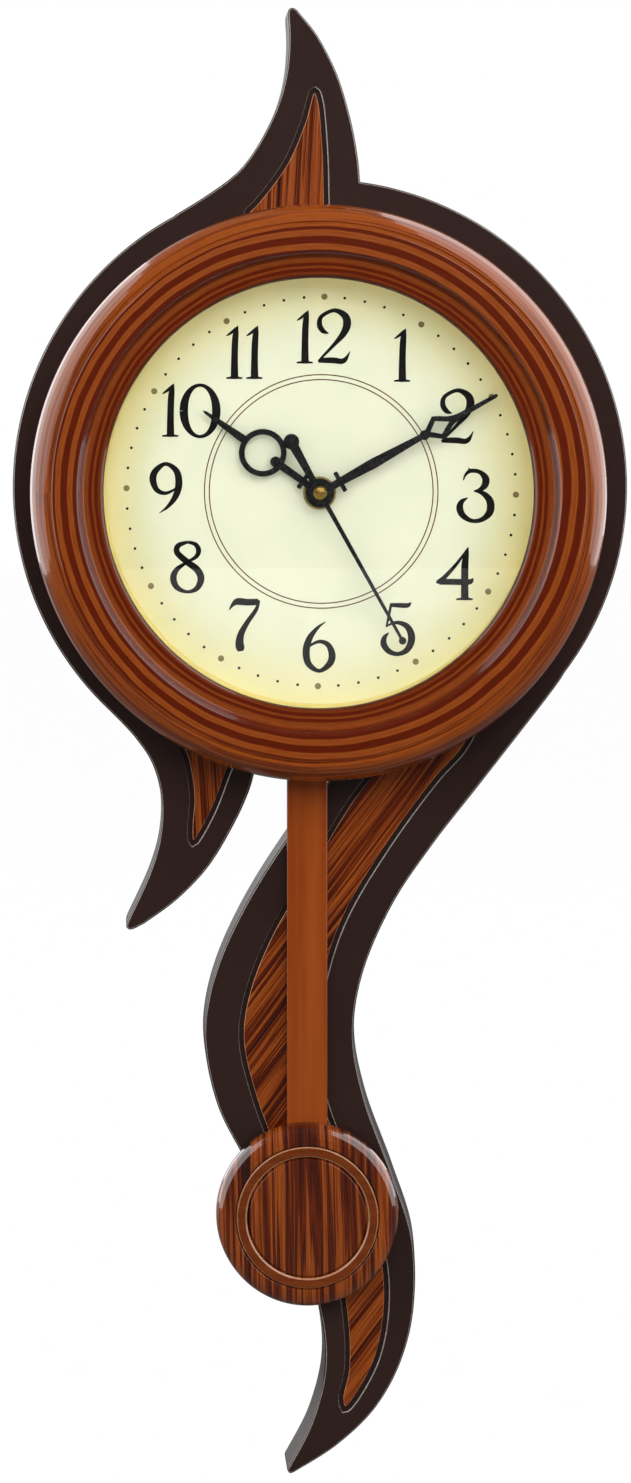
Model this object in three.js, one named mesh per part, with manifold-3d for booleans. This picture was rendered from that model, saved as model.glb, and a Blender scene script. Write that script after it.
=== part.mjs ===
// Wall clock with a swinging pendulum: flame-shaped backboard, round stepped bezel, quartz pendulum movement.
// Millimetres. +X right, +Z up, and the front looks along -Y; the wall is the plane Y = 0.
// Everything is drawn around the hand shaft, then moved so that the origin is the hanging point.
import * as THREE from 'three';
import { mergeVertices } from 'three/addons/utils/BufferGeometryUtils.js';
import Module from 'manifold-3d';

const wasm = await Module();
wasm.setup();

// ---------- driving dimensions ----------
const HANG = 109;            // hanging point above the hand shaft
const FACE = -18;            // Y of the backboard's front face
const WALL = 3;              // front wall of the backboard
const SIDE = 2.4;            // side wall of the backboard
const FLARE = 0.8;           // how much wider the backboard is at the wall than at its face
const EDGE = 1.1;            // rounding of the backboard's front edge
const DISC = { x: 0.4, z: 2.7, r: 130.1 };   // round part of the backboard
const OPENING = 84;          // radius of the opening behind the dial
const RECESS = 1.6;          // depth of the recesses for the inlays
const GROOVE = 1.9;          // gap around each inlay
const RING = { x: -0.7, z: 0 };              // centre of the bezel
const LIP = 89.3;            // radius of the opening in the bezel
const SEAT = 92.6;           // radius of the seat for the dial stack
const LENS_H = 17.9;         // heights above the backboard's face
const DIAL_H = 6.2;
const PLATE_H = 4.6;
const PLATE_T = 1.4;
const PRINT = { x: 0.3, z: 1.4, r: 90 };     // visible circle of the dial inside its ring
const CASE = { w: 56, top: 30, bottom: -78, front: PLATE_H - 0.1, back: -12 };
const SHELL = 1.2;           // wall of the movement case
const SWING_X = -5.1;        // the pendulum hangs a little to the left of the shaft
const PIVOT_Z = -60;
const BOB_Z = -303.3;
const BOB_R = 38.4;
const BAR_W = 17.1;
const BAR = [1.2, 4.2];      // heights of the back and front of the pendulum bar
const BATTERY = { r: 7.1, l: 50.5, z: -36.5 };
const HOUR_AT = 305.2;       // hands, degrees clockwise from twelve
const MINUTE_AT = 61.1;
const SECOND_AT = 150.8;

const group = new THREE.Group();
const up = h => FACE - h;    // height above the backboard's face to Y
const rad = d => d * Math.PI / 180;

// ---------- helpers ----------
function manifold(geometry) {
  const g = geometry.clone();
  g.deleteAttribute('normal');
  g.deleteAttribute('uv');
  const m = mergeVertices(g, 1e-4);
  const index = [];
  for (let i = 0; i < m.index.count; i += 3) {
    const [a, b, c] = [0, 1, 2].map(k => m.index.getX(i + k));
    if (a !== b && b !== c && c !== a) index.push(a, b, c);
  }
  const numbers = new Float32Array(m.attributes.position.array);
  const build = tri => new wasm.Manifold(
    new wasm.Mesh({ numProp: 3, vertProperties: numbers, triVerts: new Uint32Array(tri) }));
  const solid = build(index);
  if (solid.volume() > 0) return solid;
  const turned = [];
  for (let i = 0; i < index.length; i += 3) turned.push(index[i], index[i + 2], index[i + 1]);
  return build(turned);
}

function add(name, solid, color, roughness = 0.4, metalness = 0) {
  const mesh = solid.simplify(0.004).getMesh();
  const g = new THREE.BufferGeometry();
  g.setAttribute('position', new THREE.BufferAttribute(new Float32Array(mesh.vertProperties), 3));
  g.setIndex(new THREE.BufferAttribute(new Uint32Array(mesh.triVerts), 1));
  g.translate(0, 0, -HANG);
  g.computeVertexNormals();
  const body = new THREE.Mesh(g, new THREE.MeshStandardMaterial({ color, roughness, metalness }));
  body.name = name;
  group.add(body);
}

// A flat shape drawn in X and Z, from height h0 to height h1.
function plate(shape, h0, h1, segments = 8) {
  const g = new THREE.ExtrudeGeometry(shape, { depth: h1 - h0, bevelEnabled: false, curveSegments: segments });
  return manifold(g.rotateX(Math.PI / 2).translate(0, up(h0), 0));
}

// A closed profile of [radius, height] turned around an axis along Y.
function turned(profile, x = 0, z = 0, segments = 32) {
  const points = [...profile, profile[0]].map(([r, h]) => new THREE.Vector2(r, up(h)));
  return manifold(new THREE.LatheGeometry(points, segments).translate(x, 0, z));
}

function disc(x, z, r, h0, h1, segments = 24) {
  return turned([[0, h0], [r, h0], [r, h1], [0, h1]], x, z, segments);
}

function tube(x, z, inner, outer, h0, h1, segments = 24) {
  return turned([[inner, h0], [outer, h0], [outer, h1], [inner, h1]], x, z, segments);
}

function box(x0, x1, h0, h1, z0, z1) {
  const g = new THREE.BoxGeometry(x1 - x0, h1 - h0, z1 - z0);
  return manifold(g.translate((x0 + x1) / 2, up((h0 + h1) / 2), (z0 + z1) / 2));
}

function shape(points, hole) {
  const s = new THREE.Shape(points.map(([x, z]) => new THREE.Vector2(x, z)));
  if (hole) s.holes.push(new THREE.Path(hole.map(([x, z]) => new THREE.Vector2(x, z))));
  return s;
}

const join = (first, ...rest) => rest.reduce((a, b) => a.add(b), first);
const cut = (first, ...rest) => rest.reduce((a, b) => a.subtract(b), first);

// Points along a smooth line through the given ones, about one every `step` mm.
function smooth(points, step) {
  const curve = new THREE.SplineCurve(points.map(([x, z]) => new THREE.Vector2(x, z)));
  const n = Math.max(2, Math.round(curve.getLength() / step));
  return curve.getSpacedPoints(n).map(p => [p.x, p.y]);
}

function arc(x, z, r, from, to, n) {
  const points = [];
  for (let i = 0; i <= n; i++) {
    const a = rad(from + (to - from) * i / n);
    points.push([x + r * Math.cos(a), z + r * Math.sin(a)]);
  }
  return points;
}

// One closed outline from stretches that share their end points.
function outline(...stretches) {
  const all = stretches.flat();
  return all.filter((p, i) => {
    const q = all[(i + 1) % all.length];
    return Math.hypot(p[0] - q[0], p[1] - q[1]) > 0.3;
  });
}

// Every point moved by `d` along the outline's outward normal (counter-clockwise outline).
function moved(points, d) {
  const n = points.length;
  return points.map((p, i) => {
    const a = points[(i + n - 1) % n];
    const b = points[(i + 1) % n];
    const u = new THREE.Vector2(p[0] - a[0], p[1] - a[1]).normalize();
    const v = new THREE.Vector2(b[0] - p[0], b[1] - p[1]).normalize();
    const m = new THREE.Vector2(u.y + v.y, -u.x - v.x).normalize();
    const k = d / Math.max(0.6, m.x * u.y - m.y * u.x);
    return [p[0] + m.x * k, p[1] + m.y * k];
  });
}

function distance(p, points) {
  let best = Infinity;
  points.forEach((a, i) => {
    const b = points[(i + 1) % points.length];
    const [dx, dz] = [b[0] - a[0], b[1] - a[1]];
    const t = THREE.MathUtils.clamp(((p[0] - a[0]) * dx + (p[1] - a[1]) * dz) / (dx * dx + dz * dz), 0, 1);
    best = Math.min(best, Math.hypot(p[0] - a[0] - t * dx, p[1] - a[1] - t * dz));
  });
  return best;
}

// The outline set in by `d`, without the loops that a sharp tip would give.
function setIn(points, d) {
  return outline(moved(points, -d).filter(p => distance(p, points) > d * 0.97));
}

// A solid between rings of the same number of points, each ring [points, height].
function loft(rings) {
  const n = rings[0][0].length;
  const position = [];
  const index = [];
  rings.forEach(([points, h]) => points.forEach(([x, z]) => position.push(x, up(h), z)));
  for (let k = 0; k + 1 < rings.length; k++) {
    for (let i = 0; i < n; i++) {
      const [a, b] = [k * n + i, k * n + (i + 1) % n];
      index.push(a, b, b + n, a, b + n, a + n);
    }
  }
  const cap = k => THREE.ShapeUtils.triangulateShape(
    rings[k][0].map(([x, z]) => new THREE.Vector2(x, z)), []);
  const last = rings.length - 1;
  cap(0).forEach(([a, b, c]) => index.push(a, c, b));
  cap(last).forEach(([a, b, c]) => index.push(a + last * n, b + last * n, c + last * n));
  const g = new THREE.BufferGeometry();
  g.setAttribute('position', new THREE.Float32BufferAttribute(position, 3));
  g.setIndex(index);
  return manifold(g);
}

// A screw driven in from the back: head [radius, back, front], then a shank [radius, front end].
function screw(name, x, z, [r, h0, h1], [shank, end]) {
  add(name, join(disc(x, z, r, h0, h1, 12), disc(x, z, shank, h1 - 0.1, end, 8)), 0xc9cacc, 0.3, 1);
}

function turnedTo(solid, degrees) {
  return solid.rotate([0, degrees, 0]);
}

// ---------- backboard ----------
const FLAME_RIGHT = [[17.5, 131.7], [16.4, 143], [13.4, 158.5], [7.9, 176.8], [-0.2, 193], [-8, 203]];
const FLAME_TIP = [[-8, 203], [-9.6, 204.8], [-11.5, 205.4], [-13.1, 204.3], [-13.3, 202]];
const FLAME_LEFT = [[-13.3, 202], [-12.9, 191], [-14.2, 176.8], [-18.3, 162.5], [-26.2, 146.8],
  [-34.8, 135.6], [-46.5, 126.7], [-61.1, 117.6]];
const LOWER_LEFT = [[-91.6, -89.3], [-84, -96.8], [-77.1, -104.5], [-70.6, -114.6], [-67, -128], [-67.4, -144.5],
  [-71.8, -160.5], [-79.9, -178.3]];
const LOWER_TIP = [[-79.9, -178.3], [-81.6, -182.3], [-81.1, -184.3], [-79, -184.7], [-74, -182.3]];
const LOWER_RIGHT = [[-74, -182.3], [-60, -172], [-46.7, -158], [-36.4, -141], [-30.4, -128], [-27.6, -118],
  [-26.8, -113.4]];
const GAP_TOP = [[-26.8, -113.4], [-25.6, -110.6], [-22.5, -109.6], [-8, -109.6], [6.5, -109.6], [9.3, -110.6],
  [9.4, -113.4]];
const TAIL_LEFT = [[9.4, -113.4], [4.2, -121.6], [-13.6, -145.9], [-29.6, -171.1], [-41.5, -195.6],
  [-47.6, -217], [-48.2, -236], [-42.8, -259.5], [-32.5, -280], [-17.5, -306], [-4.6, -331.5],
  [1.3, -351.5], [2.1, -372], [-3.4, -393.2], [-12.4, -410.8]];
const TAIL_TIP = [[-12.4, -410.8], [-13.5, -413.2], [-12, -414.9], [-8.8, -413.4]];
const TAIL_RIGHT = [[-8.8, -413.4], [7.6, -402.9], [23.5, -387.6], [34.5, -367.9], [40.1, -344.5], [39.6, -315.5],
  [31, -288], [19.5, -256.5], [14.7, -229.5], [18.6, -203], [31, -174.3], [48, -148.9], [68.1, -123.2],
  [97.2, -85.8], [104.3, -75.6]];

function boardOutline() {
  return outline(
    smooth(FLAME_RIGHT, 14), smooth(FLAME_TIP, 2), smooth(FLAME_LEFT, 13),
    arc(DISC.x, DISC.z, DISC.r, 118.2, 225, 20),
    smooth(LOWER_LEFT, 12), smooth(LOWER_TIP, 2.2), smooth(LOWER_RIGHT, 14), smooth(GAP_TOP, 4.5),
    smooth(TAIL_LEFT, 13), smooth(TAIL_TIP, 2), smooth(TAIL_RIGHT, 14),
    arc(DISC.x, DISC.z, DISC.r, -37, 82.4, 22));
}

const TOP_INLAY = [[-1.9, 169.4], [-5.9, 156.5], [-13.6, 138.8], [-25.4, 122.8], [-30, 117.5], [-28, 115.4],
  [-14, 116.6], [0, 115.6], [1.6, 117.5], [2, 130], [1.2, 150], [-0.5, 166]];
const LOWER_INLAY = [[-53.2, -147], [-53.6, -141], [-52.8, -128], [-55.2, -112.5], [-57.6, -105.6], [-55.8, -104.2],
  [-46, -105.4], [-38, -108], [-36.8, -109.8], [-40.6, -120.9], [-45.4, -133.4], [-51.4, -144.8]];
const TAIL_INLAY = [[11, -386.6], [10.2, -383], [12.6, -371.5], [12.4, -352], [8.6, -331], [-2.5, -309.5],
  [-16, -282.5], [-26.9, -254], [-31.9, -231], [-29.4, -212], [-20, -187.8], [-3.3, -159.5], [15, -129.4],
  [32, -109.4], [34.2, -108.6], [46, -103.6], [58.5, -96], [64.2, -99], [60.5, -107.5], [49, -120.5],
  [28.9, -147.8], [10.3, -178.9], [1.9, -203], [-1.6, -226], [-1.2, -243], [1.8, -258.5], [13.2, -288],
  [25.6, -320], [27.4, -345], [22.6, -368.2]];

function closedSmooth(points, step) {
  const curve = new THREE.CatmullRomCurve3(points.map(([x, z]) => new THREE.Vector3(x, 0, z)), true);
  return curve.getSpacedPoints(Math.round(curve.getLength() / step)).slice(0, -1).map(p => [p.x, p.z]);
}

function counterClockwise(points) {
  return THREE.ShapeUtils.area(points.map(([x, z]) => new THREE.Vector2(x, z))) > 0 ? points : [...points].reverse();
}

const INLAYS = {
  inlay_top: counterClockwise(closedSmooth(TOP_INLAY, 5.5)),
  inlay_lower_left: counterClockwise(closedSmooth(LOWER_INLAY, 5.5)),
  inlay_tail: counterClockwise(closedSmooth(TAIL_INLAY, 7)),
};
const BOSS = 105.5;          // radius of the bezel's screws
const DIAL_EAR = 99.5;       // radius of the dial plate's screws
const around = (r, angles) => angles.map(a => [RING.x + r * Math.cos(rad(a)), RING.z + r * Math.sin(rad(a))]);
const BEZEL_SCREWS = around(BOSS, [40, 140, 222, 318]);
const DIAL_SCREWS = around(DIAL_EAR, [90, 205, 335]);
const HANGER_SCREWS = [[-13, 105], [13, 105]];

function backboard() {
  const edge = boardOutline();
  const shell = loft([
    [moved(edge, FLARE), FACE],
    [edge, -EDGE * 1.3],
    [moved(edge, -EDGE * 0.12), -EDGE * 0.65],
    [moved(edge, -EDGE * 0.45), -EDGE * 0.2],
    [moved(edge, -EDGE), 0],
  ]);
  const inside = setIn(edge, SIDE);
  const room = loft([[inside, FACE - 1], [inside, -WALL]]);
  const wider = setIn(edge, SIDE - 0.5);
  const ribRoom = loft([[wider, FACE - 1], [wider, -WALL + 0.5]]);
  let board = shell.subtract(room);
  const ribs = [-150, -185, -220, -255, -290, -325, -358]
    .map(z => box(-90, 110, -13, -WALL + 0.2, z - 0.7, z + 0.7));
  const spokes = [20, 65, 115, 160, 200, 240, 300, 340]
    .map(a => turnedTo(box(OPENING + 1.3, 130, -11, -WALL + 0.2, -0.7, 0.7), -a));
  ribs.push(tube(0, 0, OPENING + 0.6, OPENING + 2, -13, -WALL + 0.2, 60), ...spokes);
  board = join(board, ...ribs.map(r => r.intersect(ribRoom)));
  for (const [x, z] of HANGER_SCREWS) {
    board = board.add(disc(x, z, 4.2, -14.8, -WALL + 0.2, 16)).subtract(disc(x, z, 1.4, -15, -6, 12));
  }
  for (const [x, z] of BEZEL_SCREWS) {
    board = board.subtract(disc(x, z, 5, -12, -WALL, 16)).subtract(disc(x, z, 1.7, -4, 1, 12));
  }
  board = board.subtract(disc(0, 0, OPENING, -5, 1, 60));
  for (const points of Object.values(INLAYS)) {
    board = board.subtract(plate(shape(moved(points, GROOVE)), -RECESS, 1));
  }
  add('backboard', board, 0x32231e, 0.22);
}

function inlays() {
  for (const [name, points] of Object.entries(INLAYS)) {
    add(name, loft([[points, -RECESS], [points, -0.7], [moved(points, -0.35), -0.35]]), 0x9a4a1c, 0.25);
  }
}

function hanger() {
  const keyhole = join(
    disc(0, 100.5, 4.3, -17, -13, 20),
    disc(0, 107, 2, -17, -13, 16),
    box(-2, 2, -17, -13, 100.5, 107));
  const holes = HANGER_SCREWS.map(([x, z]) => disc(x, z, 1.9, -17, -13, 12));
  add('hanger_plate', cut(box(-18, 18, -16.2, -15, 94, 115), keyhole, ...holes), 0xb5b7ba, 0.3, 1);
  HANGER_SCREWS.forEach(([x, z], i) => {
    screw(`hanger_screw_${i + 1}`, x, z, [3.1, -17.6, -16.3], [1.2, -6.5]);
  });
}

// ---------- bezel and dial ----------
const MOULDING = [
  [120.8, 0], [120.6, 8], [120.4, 15], [119.9, 19.8], [118.8, 23.3], [117.2, 26], [115.3, 28], [113.4, 29.2],
  [112.3, 29.6], [111.3, 27.8], [110.7, 29], [105, 29.3], [99.6, 28.9], [98.6, 28.3], [97.7, 26.8], [97, 25.2],
  [96, 24.8], [92.5, 24], [90.2, 23.3], [LIP, 22.3], [LIP, 20]];
const UNDERSIDE = [
  [SEAT, 20], [SEAT, PLATE_H + PLATE_T + 0.1], [95, PLATE_H + PLATE_T + 0.1], [95, 20.4], [98.6, 22.4],
  [101.5, 25.4], [104.5, 26.4], [108, 25.2], [110.4, 24.2], [113, 26.2], [115.4, 26], [117.2, 22], [118, 12],
  [118.2, 0]];

function bezel() {
  let ring = turned([...MOULDING, ...UNDERSIDE], RING.x, RING.z, 56);
  for (const [x, z] of BEZEL_SCREWS) ring = ring.add(disc(x, z, 3.6, 0, 26, 12));
  for (const [x, z] of DIAL_SCREWS) ring = ring.add(disc(x, z, 2.9, PLATE_H + PLATE_T + 0.1, 23.6, 12));
  for (const [x, z] of BEZEL_SCREWS) ring = ring.subtract(disc(x, z, 1.4, -1, 13, 12));
  for (const [x, z] of DIAL_SCREWS) ring = ring.subtract(disc(x, z, 1.2, 5, 14, 12));
  const notch = box(SWING_X - 36, SWING_X + 36, -1, 6.5, -130, -97);
  add('bezel', ring.subtract(notch), 0x964c1a, 0.2);
  BEZEL_SCREWS.forEach(([x, z], i) => {
    screw(`bezel_screw_${i + 1}`, x, z, [3.4, -5, -WALL - 0.1], [1.2, 10]);
  });
}

function dialStack() {
  add('lens', disc(RING.x, RING.z, 92.1, LENS_H + 0.1, 19.9, 56), 0xdfe9e6, 0.05);
  const circle = (c, r, n = 56) => arc(c.x, c.z, r, 0, 360 - 360 / n, n - 1);
  const wide = loft([[circle(PRINT, PRINT.r - 0.4), DIAL_H - 1], [circle(PRINT, PRINT.r), DIAL_H + 0.7],
    [circle(RING, 90.5), LENS_H + 1]]);
  add('dial_ring', disc(RING.x, RING.z, 92.1, DIAL_H + 0.7, LENS_H, 56).subtract(wide), 0xf2e29a, 0.4);
  add('dial', tube(RING.x, RING.z, 5, 92.1, DIAL_H, DIAL_H + 0.6, 56), 0xf4f2d6, 0.5);
  let back = disc(RING.x, RING.z, 94.6, PLATE_H, PLATE_H + PLATE_T, 56);
  for (const [x, z] of DIAL_SCREWS) {
    const inward = [(RING.x - x) / DIAL_EAR * 12, (RING.z - z) / DIAL_EAR * 12];
    const side = [inward[1] / 3, -inward[0] / 3];
    const tab = [
      [x - side[0], z - side[1]],
      [x + side[0], z + side[1]],
      [x + side[0] + inward[0], z + side[1] + inward[1]],
      [x - side[0] + inward[0], z - side[1] + inward[1]]];
    const ear = disc(x, z, 4, PLATE_H, PLATE_H + PLATE_T, 20);
    back = join(back, ear, plate(shape(tab), PLATE_H, PLATE_H + PLATE_T));
  }
  for (const [x, z] of DIAL_SCREWS) {
    back = back.subtract(disc(x, z, 1.5, PLATE_H - 1, PLATE_H + 3, 12));
  }
  add('dial_plate', back.subtract(disc(0, 0, 4.4, 0, 10, 24)), 0xe9e6da, 0.5);
  DIAL_SCREWS.forEach(([x, z], i) => {
    screw(`dial_screw_${i + 1}`, x, z, [2.6, PLATE_H - 1.5, PLATE_H - 0.1], [1, 13]);
  });
}

// ---------- movement ----------
// Centre distances of the meshed pairs; every wheel lies between the case's front wall and its cover.
const AT = (distance, degrees, from = [0, 0]) => [
  from[0] + distance * Math.cos(rad(degrees)), from[1] + distance * Math.sin(rad(degrees))];
const THIRD_C = 11;
const SETTING_C = 10.5;
const FIFTH_C = 10.8;
const ROTOR_C = 9;
const THIRD = AT(THIRD_C, 60);
const SETTING = AT(SETTING_C, 200);
const FIFTH = AT(FIFTH_C, -20);
const ROTOR = AT(ROTOR_C, -80, FIFTH);
const MESH = 0.12;           // clearance kept between the tips of meshed teeth

// A toothed wheel with pointed teeth; its tips stay inside the pitch circle.
function wheel([x, z], teeth, pitch, h0, h1, phase = 0) {
  const tip = pitch - MESH / 2;
  const root = pitch * (1 - 2.2 / teeth);
  const points = [];
  for (let i = 0; i < teeth; i++) {
    const a = (i + phase) * 2 * Math.PI / teeth;
    const b = a + Math.PI / teeth;
    points.push([x + tip * Math.cos(a), z + tip * Math.sin(a)], [x + root * Math.cos(b), z + root * Math.sin(b)]);
  }
  return plate(shape(points), h0, h1);
}

function gears() {
  const steel = [0xd9d2b8, 0.4];
  const hour = join(wheel([0, 0], 32, SETTING_C * 32 / 40, 2.1, 2.9), disc(0, 0, 2.6, 2.1, 10.6, 20));
  add('hour_wheel', hour.subtract(disc(0, 0, 1.85, 0, 12, 20)), ...steel);
  const minute = join(
    wheel([0, 0], 64, THIRD_C * 64 / 72, -0.6, 0.2),
    wheel([0, 0], 10, SETTING_C * 10 / 40, 0.1, 1.7),
    disc(0, 0, 1.6, 1.6, 13, 18));
  add('minute_wheel', minute.subtract(disc(0, 0, 0.85, -3, 14, 16)), ...steel);
  const second = join(
    wheel([0, 0], 40, FIFTH_C * 40 / 48, -4.6, -3.8),
    wheel([0, 0], 8, THIRD_C * 8 / 68, -4, -1.7),
    disc(0, 0, 0.6, -10, 15.4, 12));
  add('second_wheel', second, ...steel);
  const third = join(
    wheel(THIRD, 60, THIRD_C * 60 / 68, -2.6, -1.8),
    wheel(THIRD, 8, THIRD_C * 8 / 72, -2, 0.3),
    disc(...THIRD, 0.5, -10, 3, 12));
  add('third_wheel', third, ...steel);
  const setting = join(
    wheel(SETTING, 30, SETTING_C * 30 / 40, 0.7, 1.5),
    wheel(SETTING, 8, SETTING_C * 8 / 40, 1.4, 3),
    disc(...SETTING, 0.6, -13.6, 1, 12));
  add('setting_wheel', setting, ...steel);
  const grips = [];
  for (let i = 0; i < 12; i++) {
    const [x, z] = AT(7.2, i * 30, SETTING);
    grips.push(disc(x, z, 0.7, -16, -12, 8));
  }
  const knob = cut(disc(...SETTING, 7, -15.6, -12.7, 36), disc(...SETTING, 0.75, -14, -12, 12), ...grips);
  add('set_knob', knob, 0xe6e2d6, 0.5);
  const fifth = join(
    wheel(FIFTH, 48, ROTOR_C * 48 / 56, -6.6, -5.8),
    wheel(FIFTH, 8, FIFTH_C * 8 / 48, -6, -3.7),
    disc(...FIFTH, 0.5, -10, 3, 12));
  add('fifth_wheel', fifth, ...steel);
  const rotor = join(
    wheel(ROTOR, 8, ROTOR_C * 8 / 56, -6.7, -5.6),
    disc(...ROTOR, 0.5, -10, 3, 12),
    disc(...ROTOR, 2.3, -9.2, -7.4, 20));
  add('rotor', rotor, 0x55585c, 0.5);
}

function motor() {
  const [rx, rz] = ROTOR;
  const frame = join(
    box(-12, rx + 6, -8.9, -7.7, rz - 3.6, rz + 3.6),
    box(-12, -8, -8.9, -7.7, -24, rz),
    box(rx + 2, rx + 6, -8.9, -7.7, -24, rz),
    box(-12, rx + 6, -8.9, -7.7, -24, -21.6));
  add('stator', frame.subtract(disc(rx, rz, 2.8, -10, -6, 24)), 0x9ea2a6, 0.4, 1);
  const winding = new THREE.CylinderGeometry(2.3, 2.3, 18, 20).rotateZ(Math.PI / 2).translate(2.5, up(-8.3), -22.8);
  add('motor_coil', manifold(winding).subtract(box(-12, 14, -9.1, -7.5, -24.2, -21.4)), 0xb0602c, 0.35, 0.6);
  add('circuit_board', box(-26, -13, -9.4, -8.4, -24, 20), 0x2f6b3c, 0.6);
}

function movement() {
  const { w, top, bottom, front, back } = CASE;
  const half = w / 2;
  const seam = -9.8;
  let tray = box(-half, half, seam, front, bottom, top);
  const rooms = [
    box(-half + SHELL, half - SHELL, seam - 1, front - SHELL, -27.6, top - SHELL),
    box(-half + SHELL, half - SHELL, seam - 1, front - SHELL, BATTERY.z - 7.8, BATTERY.z + 7.8),
    box(-half + SHELL, half - SHELL, seam - 1, front - SHELL, bottom + SHELL, -45.6),
    box(SWING_X - 13, SWING_X + 13, 0.2, front - SHELL, bottom - 1, bottom + 2)];
  tray = cut(tray, ...rooms);
  tray = join(tray, disc(0, 0, 4, front - 0.1, 9.6, 24), disc(SWING_X, PIVOT_Z, 1.1, -0.6, front - 0.5, 16));
  tray = tray.subtract(disc(0, 0, 2.8, -1, 12, 20));
  add('movement_case', tray, 0x26272a, 0.5);
  let cover = box(-half, half, back, seam - 0.05, bottom, top);
  const inner = [
    box(-half + SHELL, half - SHELL, back + SHELL, seam + 1, -27.6, top - SHELL),
    box(-half + SHELL, half - SHELL, back - 1, seam + 1, BATTERY.z - 7.8, BATTERY.z + 7.8),
    box(-half + SHELL, half - SHELL, back + SHELL, seam + 1, bottom + SHELL, -45.6),
    disc(...SETTING, 1, back - 1, back + 3, 16)];
  add('movement_cover', cut(cover, ...inner), 0x303135, 0.5);
  add('shaft_washer', tube(0, 0, 4.3, 7, DIAL_H + 0.7, DIAL_H + 1.1, 24), 0xc6a24c, 0.3, 1);
  const hex = plate(shape(arc(0, 0, 6, 0, 300, 5)), DIAL_H + 1.2, DIAL_H + 3.2);
  add('shaft_nut', hex.subtract(disc(0, 0, 4.15, 0, 12, 24)), 0xcaa24a, 0.3, 1);
}

function power() {
  const { r, l, z } = BATTERY;
  const can = new THREE.LatheGeometry(
    [[0, -l / 2], [r, -l / 2], [r, l / 2 - 1.4], [2.6, l / 2 - 1.4], [2.6, l / 2], [0, l / 2]]
      .map(([a, b]) => new THREE.Vector2(a, b)), 28);
  add('battery', manifold(can.rotateZ(-Math.PI / 2).translate(0, up(-4.2), z)), 0x3a6ea5, 0.3);
  const x = CASE.w / 2 - SHELL - 0.1;
  add('contact_plus', box(x - 1.2, x, -9.6, 2.2, z - 5, z + 5), 0xd4d6d8, 0.25, 1);
  const strip = join(
    box(-x, 0.5 - x, -9.6, 2.2, z - 5, z + 5),
    box(0.4 - x, -l / 2 - 0.1, -5.2, -3.2, z - 1.6, z + 1.6));
  add('contact_minus', strip, 0xd4d6d8, 0.25, 1);
}

// ---------- hands ----------
function mirrored(half) {
  return [...half, ...[...half].reverse().filter(([x]) => x > 0).map(([x, z]) => [-x, z])];
}

// Each hand is drawn pointing up from the shaft, then turned clockwise to its place.
function hands() {
  const black = [0x0c0c0d, 0.25];
  const shaftOf = half => shape(mirrored(half));
  const spade = join(
    plate(shaftOf([[0, 60.1], [0.6, 58.5], [1.7, 40.5], [1.7, 37.5]]), 9.7, 10.2),
    plate(shape(arc(0, 29.2, 10, 0, 350, 35), arc(0, 29.2, 7.6, 0, 350, 35).reverse()), 9.7, 10.2),
    disc(0, 22.6, 2.3, 9.7, 10.2, 16),
    box(-1.6, 1.6, 9.7, 10.2, 4, 22),
    box(-3.6, 3.6, 9.7, 10.2, 7.6, 9.5),
    disc(0, 0, 6, 9.7, 10.2, 28));
  add('hour_hand', turnedTo(spade.subtract(disc(0, 0, 2.75, 0, 20, 20)), HOUR_AT), ...black);
  const kite = join(
    plate(shape([[0, 48.5], [5.4, 56.4], [1.3, 66], [-1.3, 66], [-5.4, 56.4]],
      [[0, 52.9], [-3, 56.6], [0, 61.7], [3, 56.6]]), 12, 12.5),
    plate(shaftOf([[0, 85.1], [0.8, 84.2], [1.3, 65.5]]), 12, 12.5),
    plate(shaftOf([[0, 4], [1.5, 4], [2.2, 25.4], [1.3, 47.4], [1.2, 50.5]]), 12, 12.5),
    disc(0, 50, 2.1, 12, 12.5, 16),
    box(-4.6, 4.6, 12, 12.5, 8.8, 10.7),
    disc(0, 0, 6.1, 12, 12.5, 28));
  add('minute_hand', turnedTo(kite.subtract(disc(0, 0, 1.75, 0, 20, 18)), MINUTE_AT), ...black);
  const needle = join(
    plate(shaftOf([[0, 71.5], [0.45, 71.4], [0.9, 4], [1.1, 0]]), 14.5, 14.9),
    disc(0, 70.6, 1.45, 14.5, 14.9, 14),
    plate(shaftOf([[0, 0], [1.2, 0], [2, -21], [0, -21]].reverse()), 14.5, 14.9),
    disc(0, -24.5, 3.3, 14.5, 14.9, 20),
    box(-1.2, 1.2, 14.5, 14.9, -23, -20),
    disc(0, 0, 4.3, 14.5, 14.9, 24));
  add('second_hand', turnedTo(needle.subtract(disc(0, 0, 2.15, 0, 20, 18)), SECOND_AT), ...black);
  const cap = [[0.7, 13.9], [2, 13.9], [2, 15], [2.9, 15], [2.9, 15.6], [2.2, 16.1], [0, 16.3], [0, 15.6],
    [0.7, 15.6]];
  add('second_cap', turned(cap, 0, 0, 24), 0xc9a04a, 0.25, 1);
}

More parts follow.
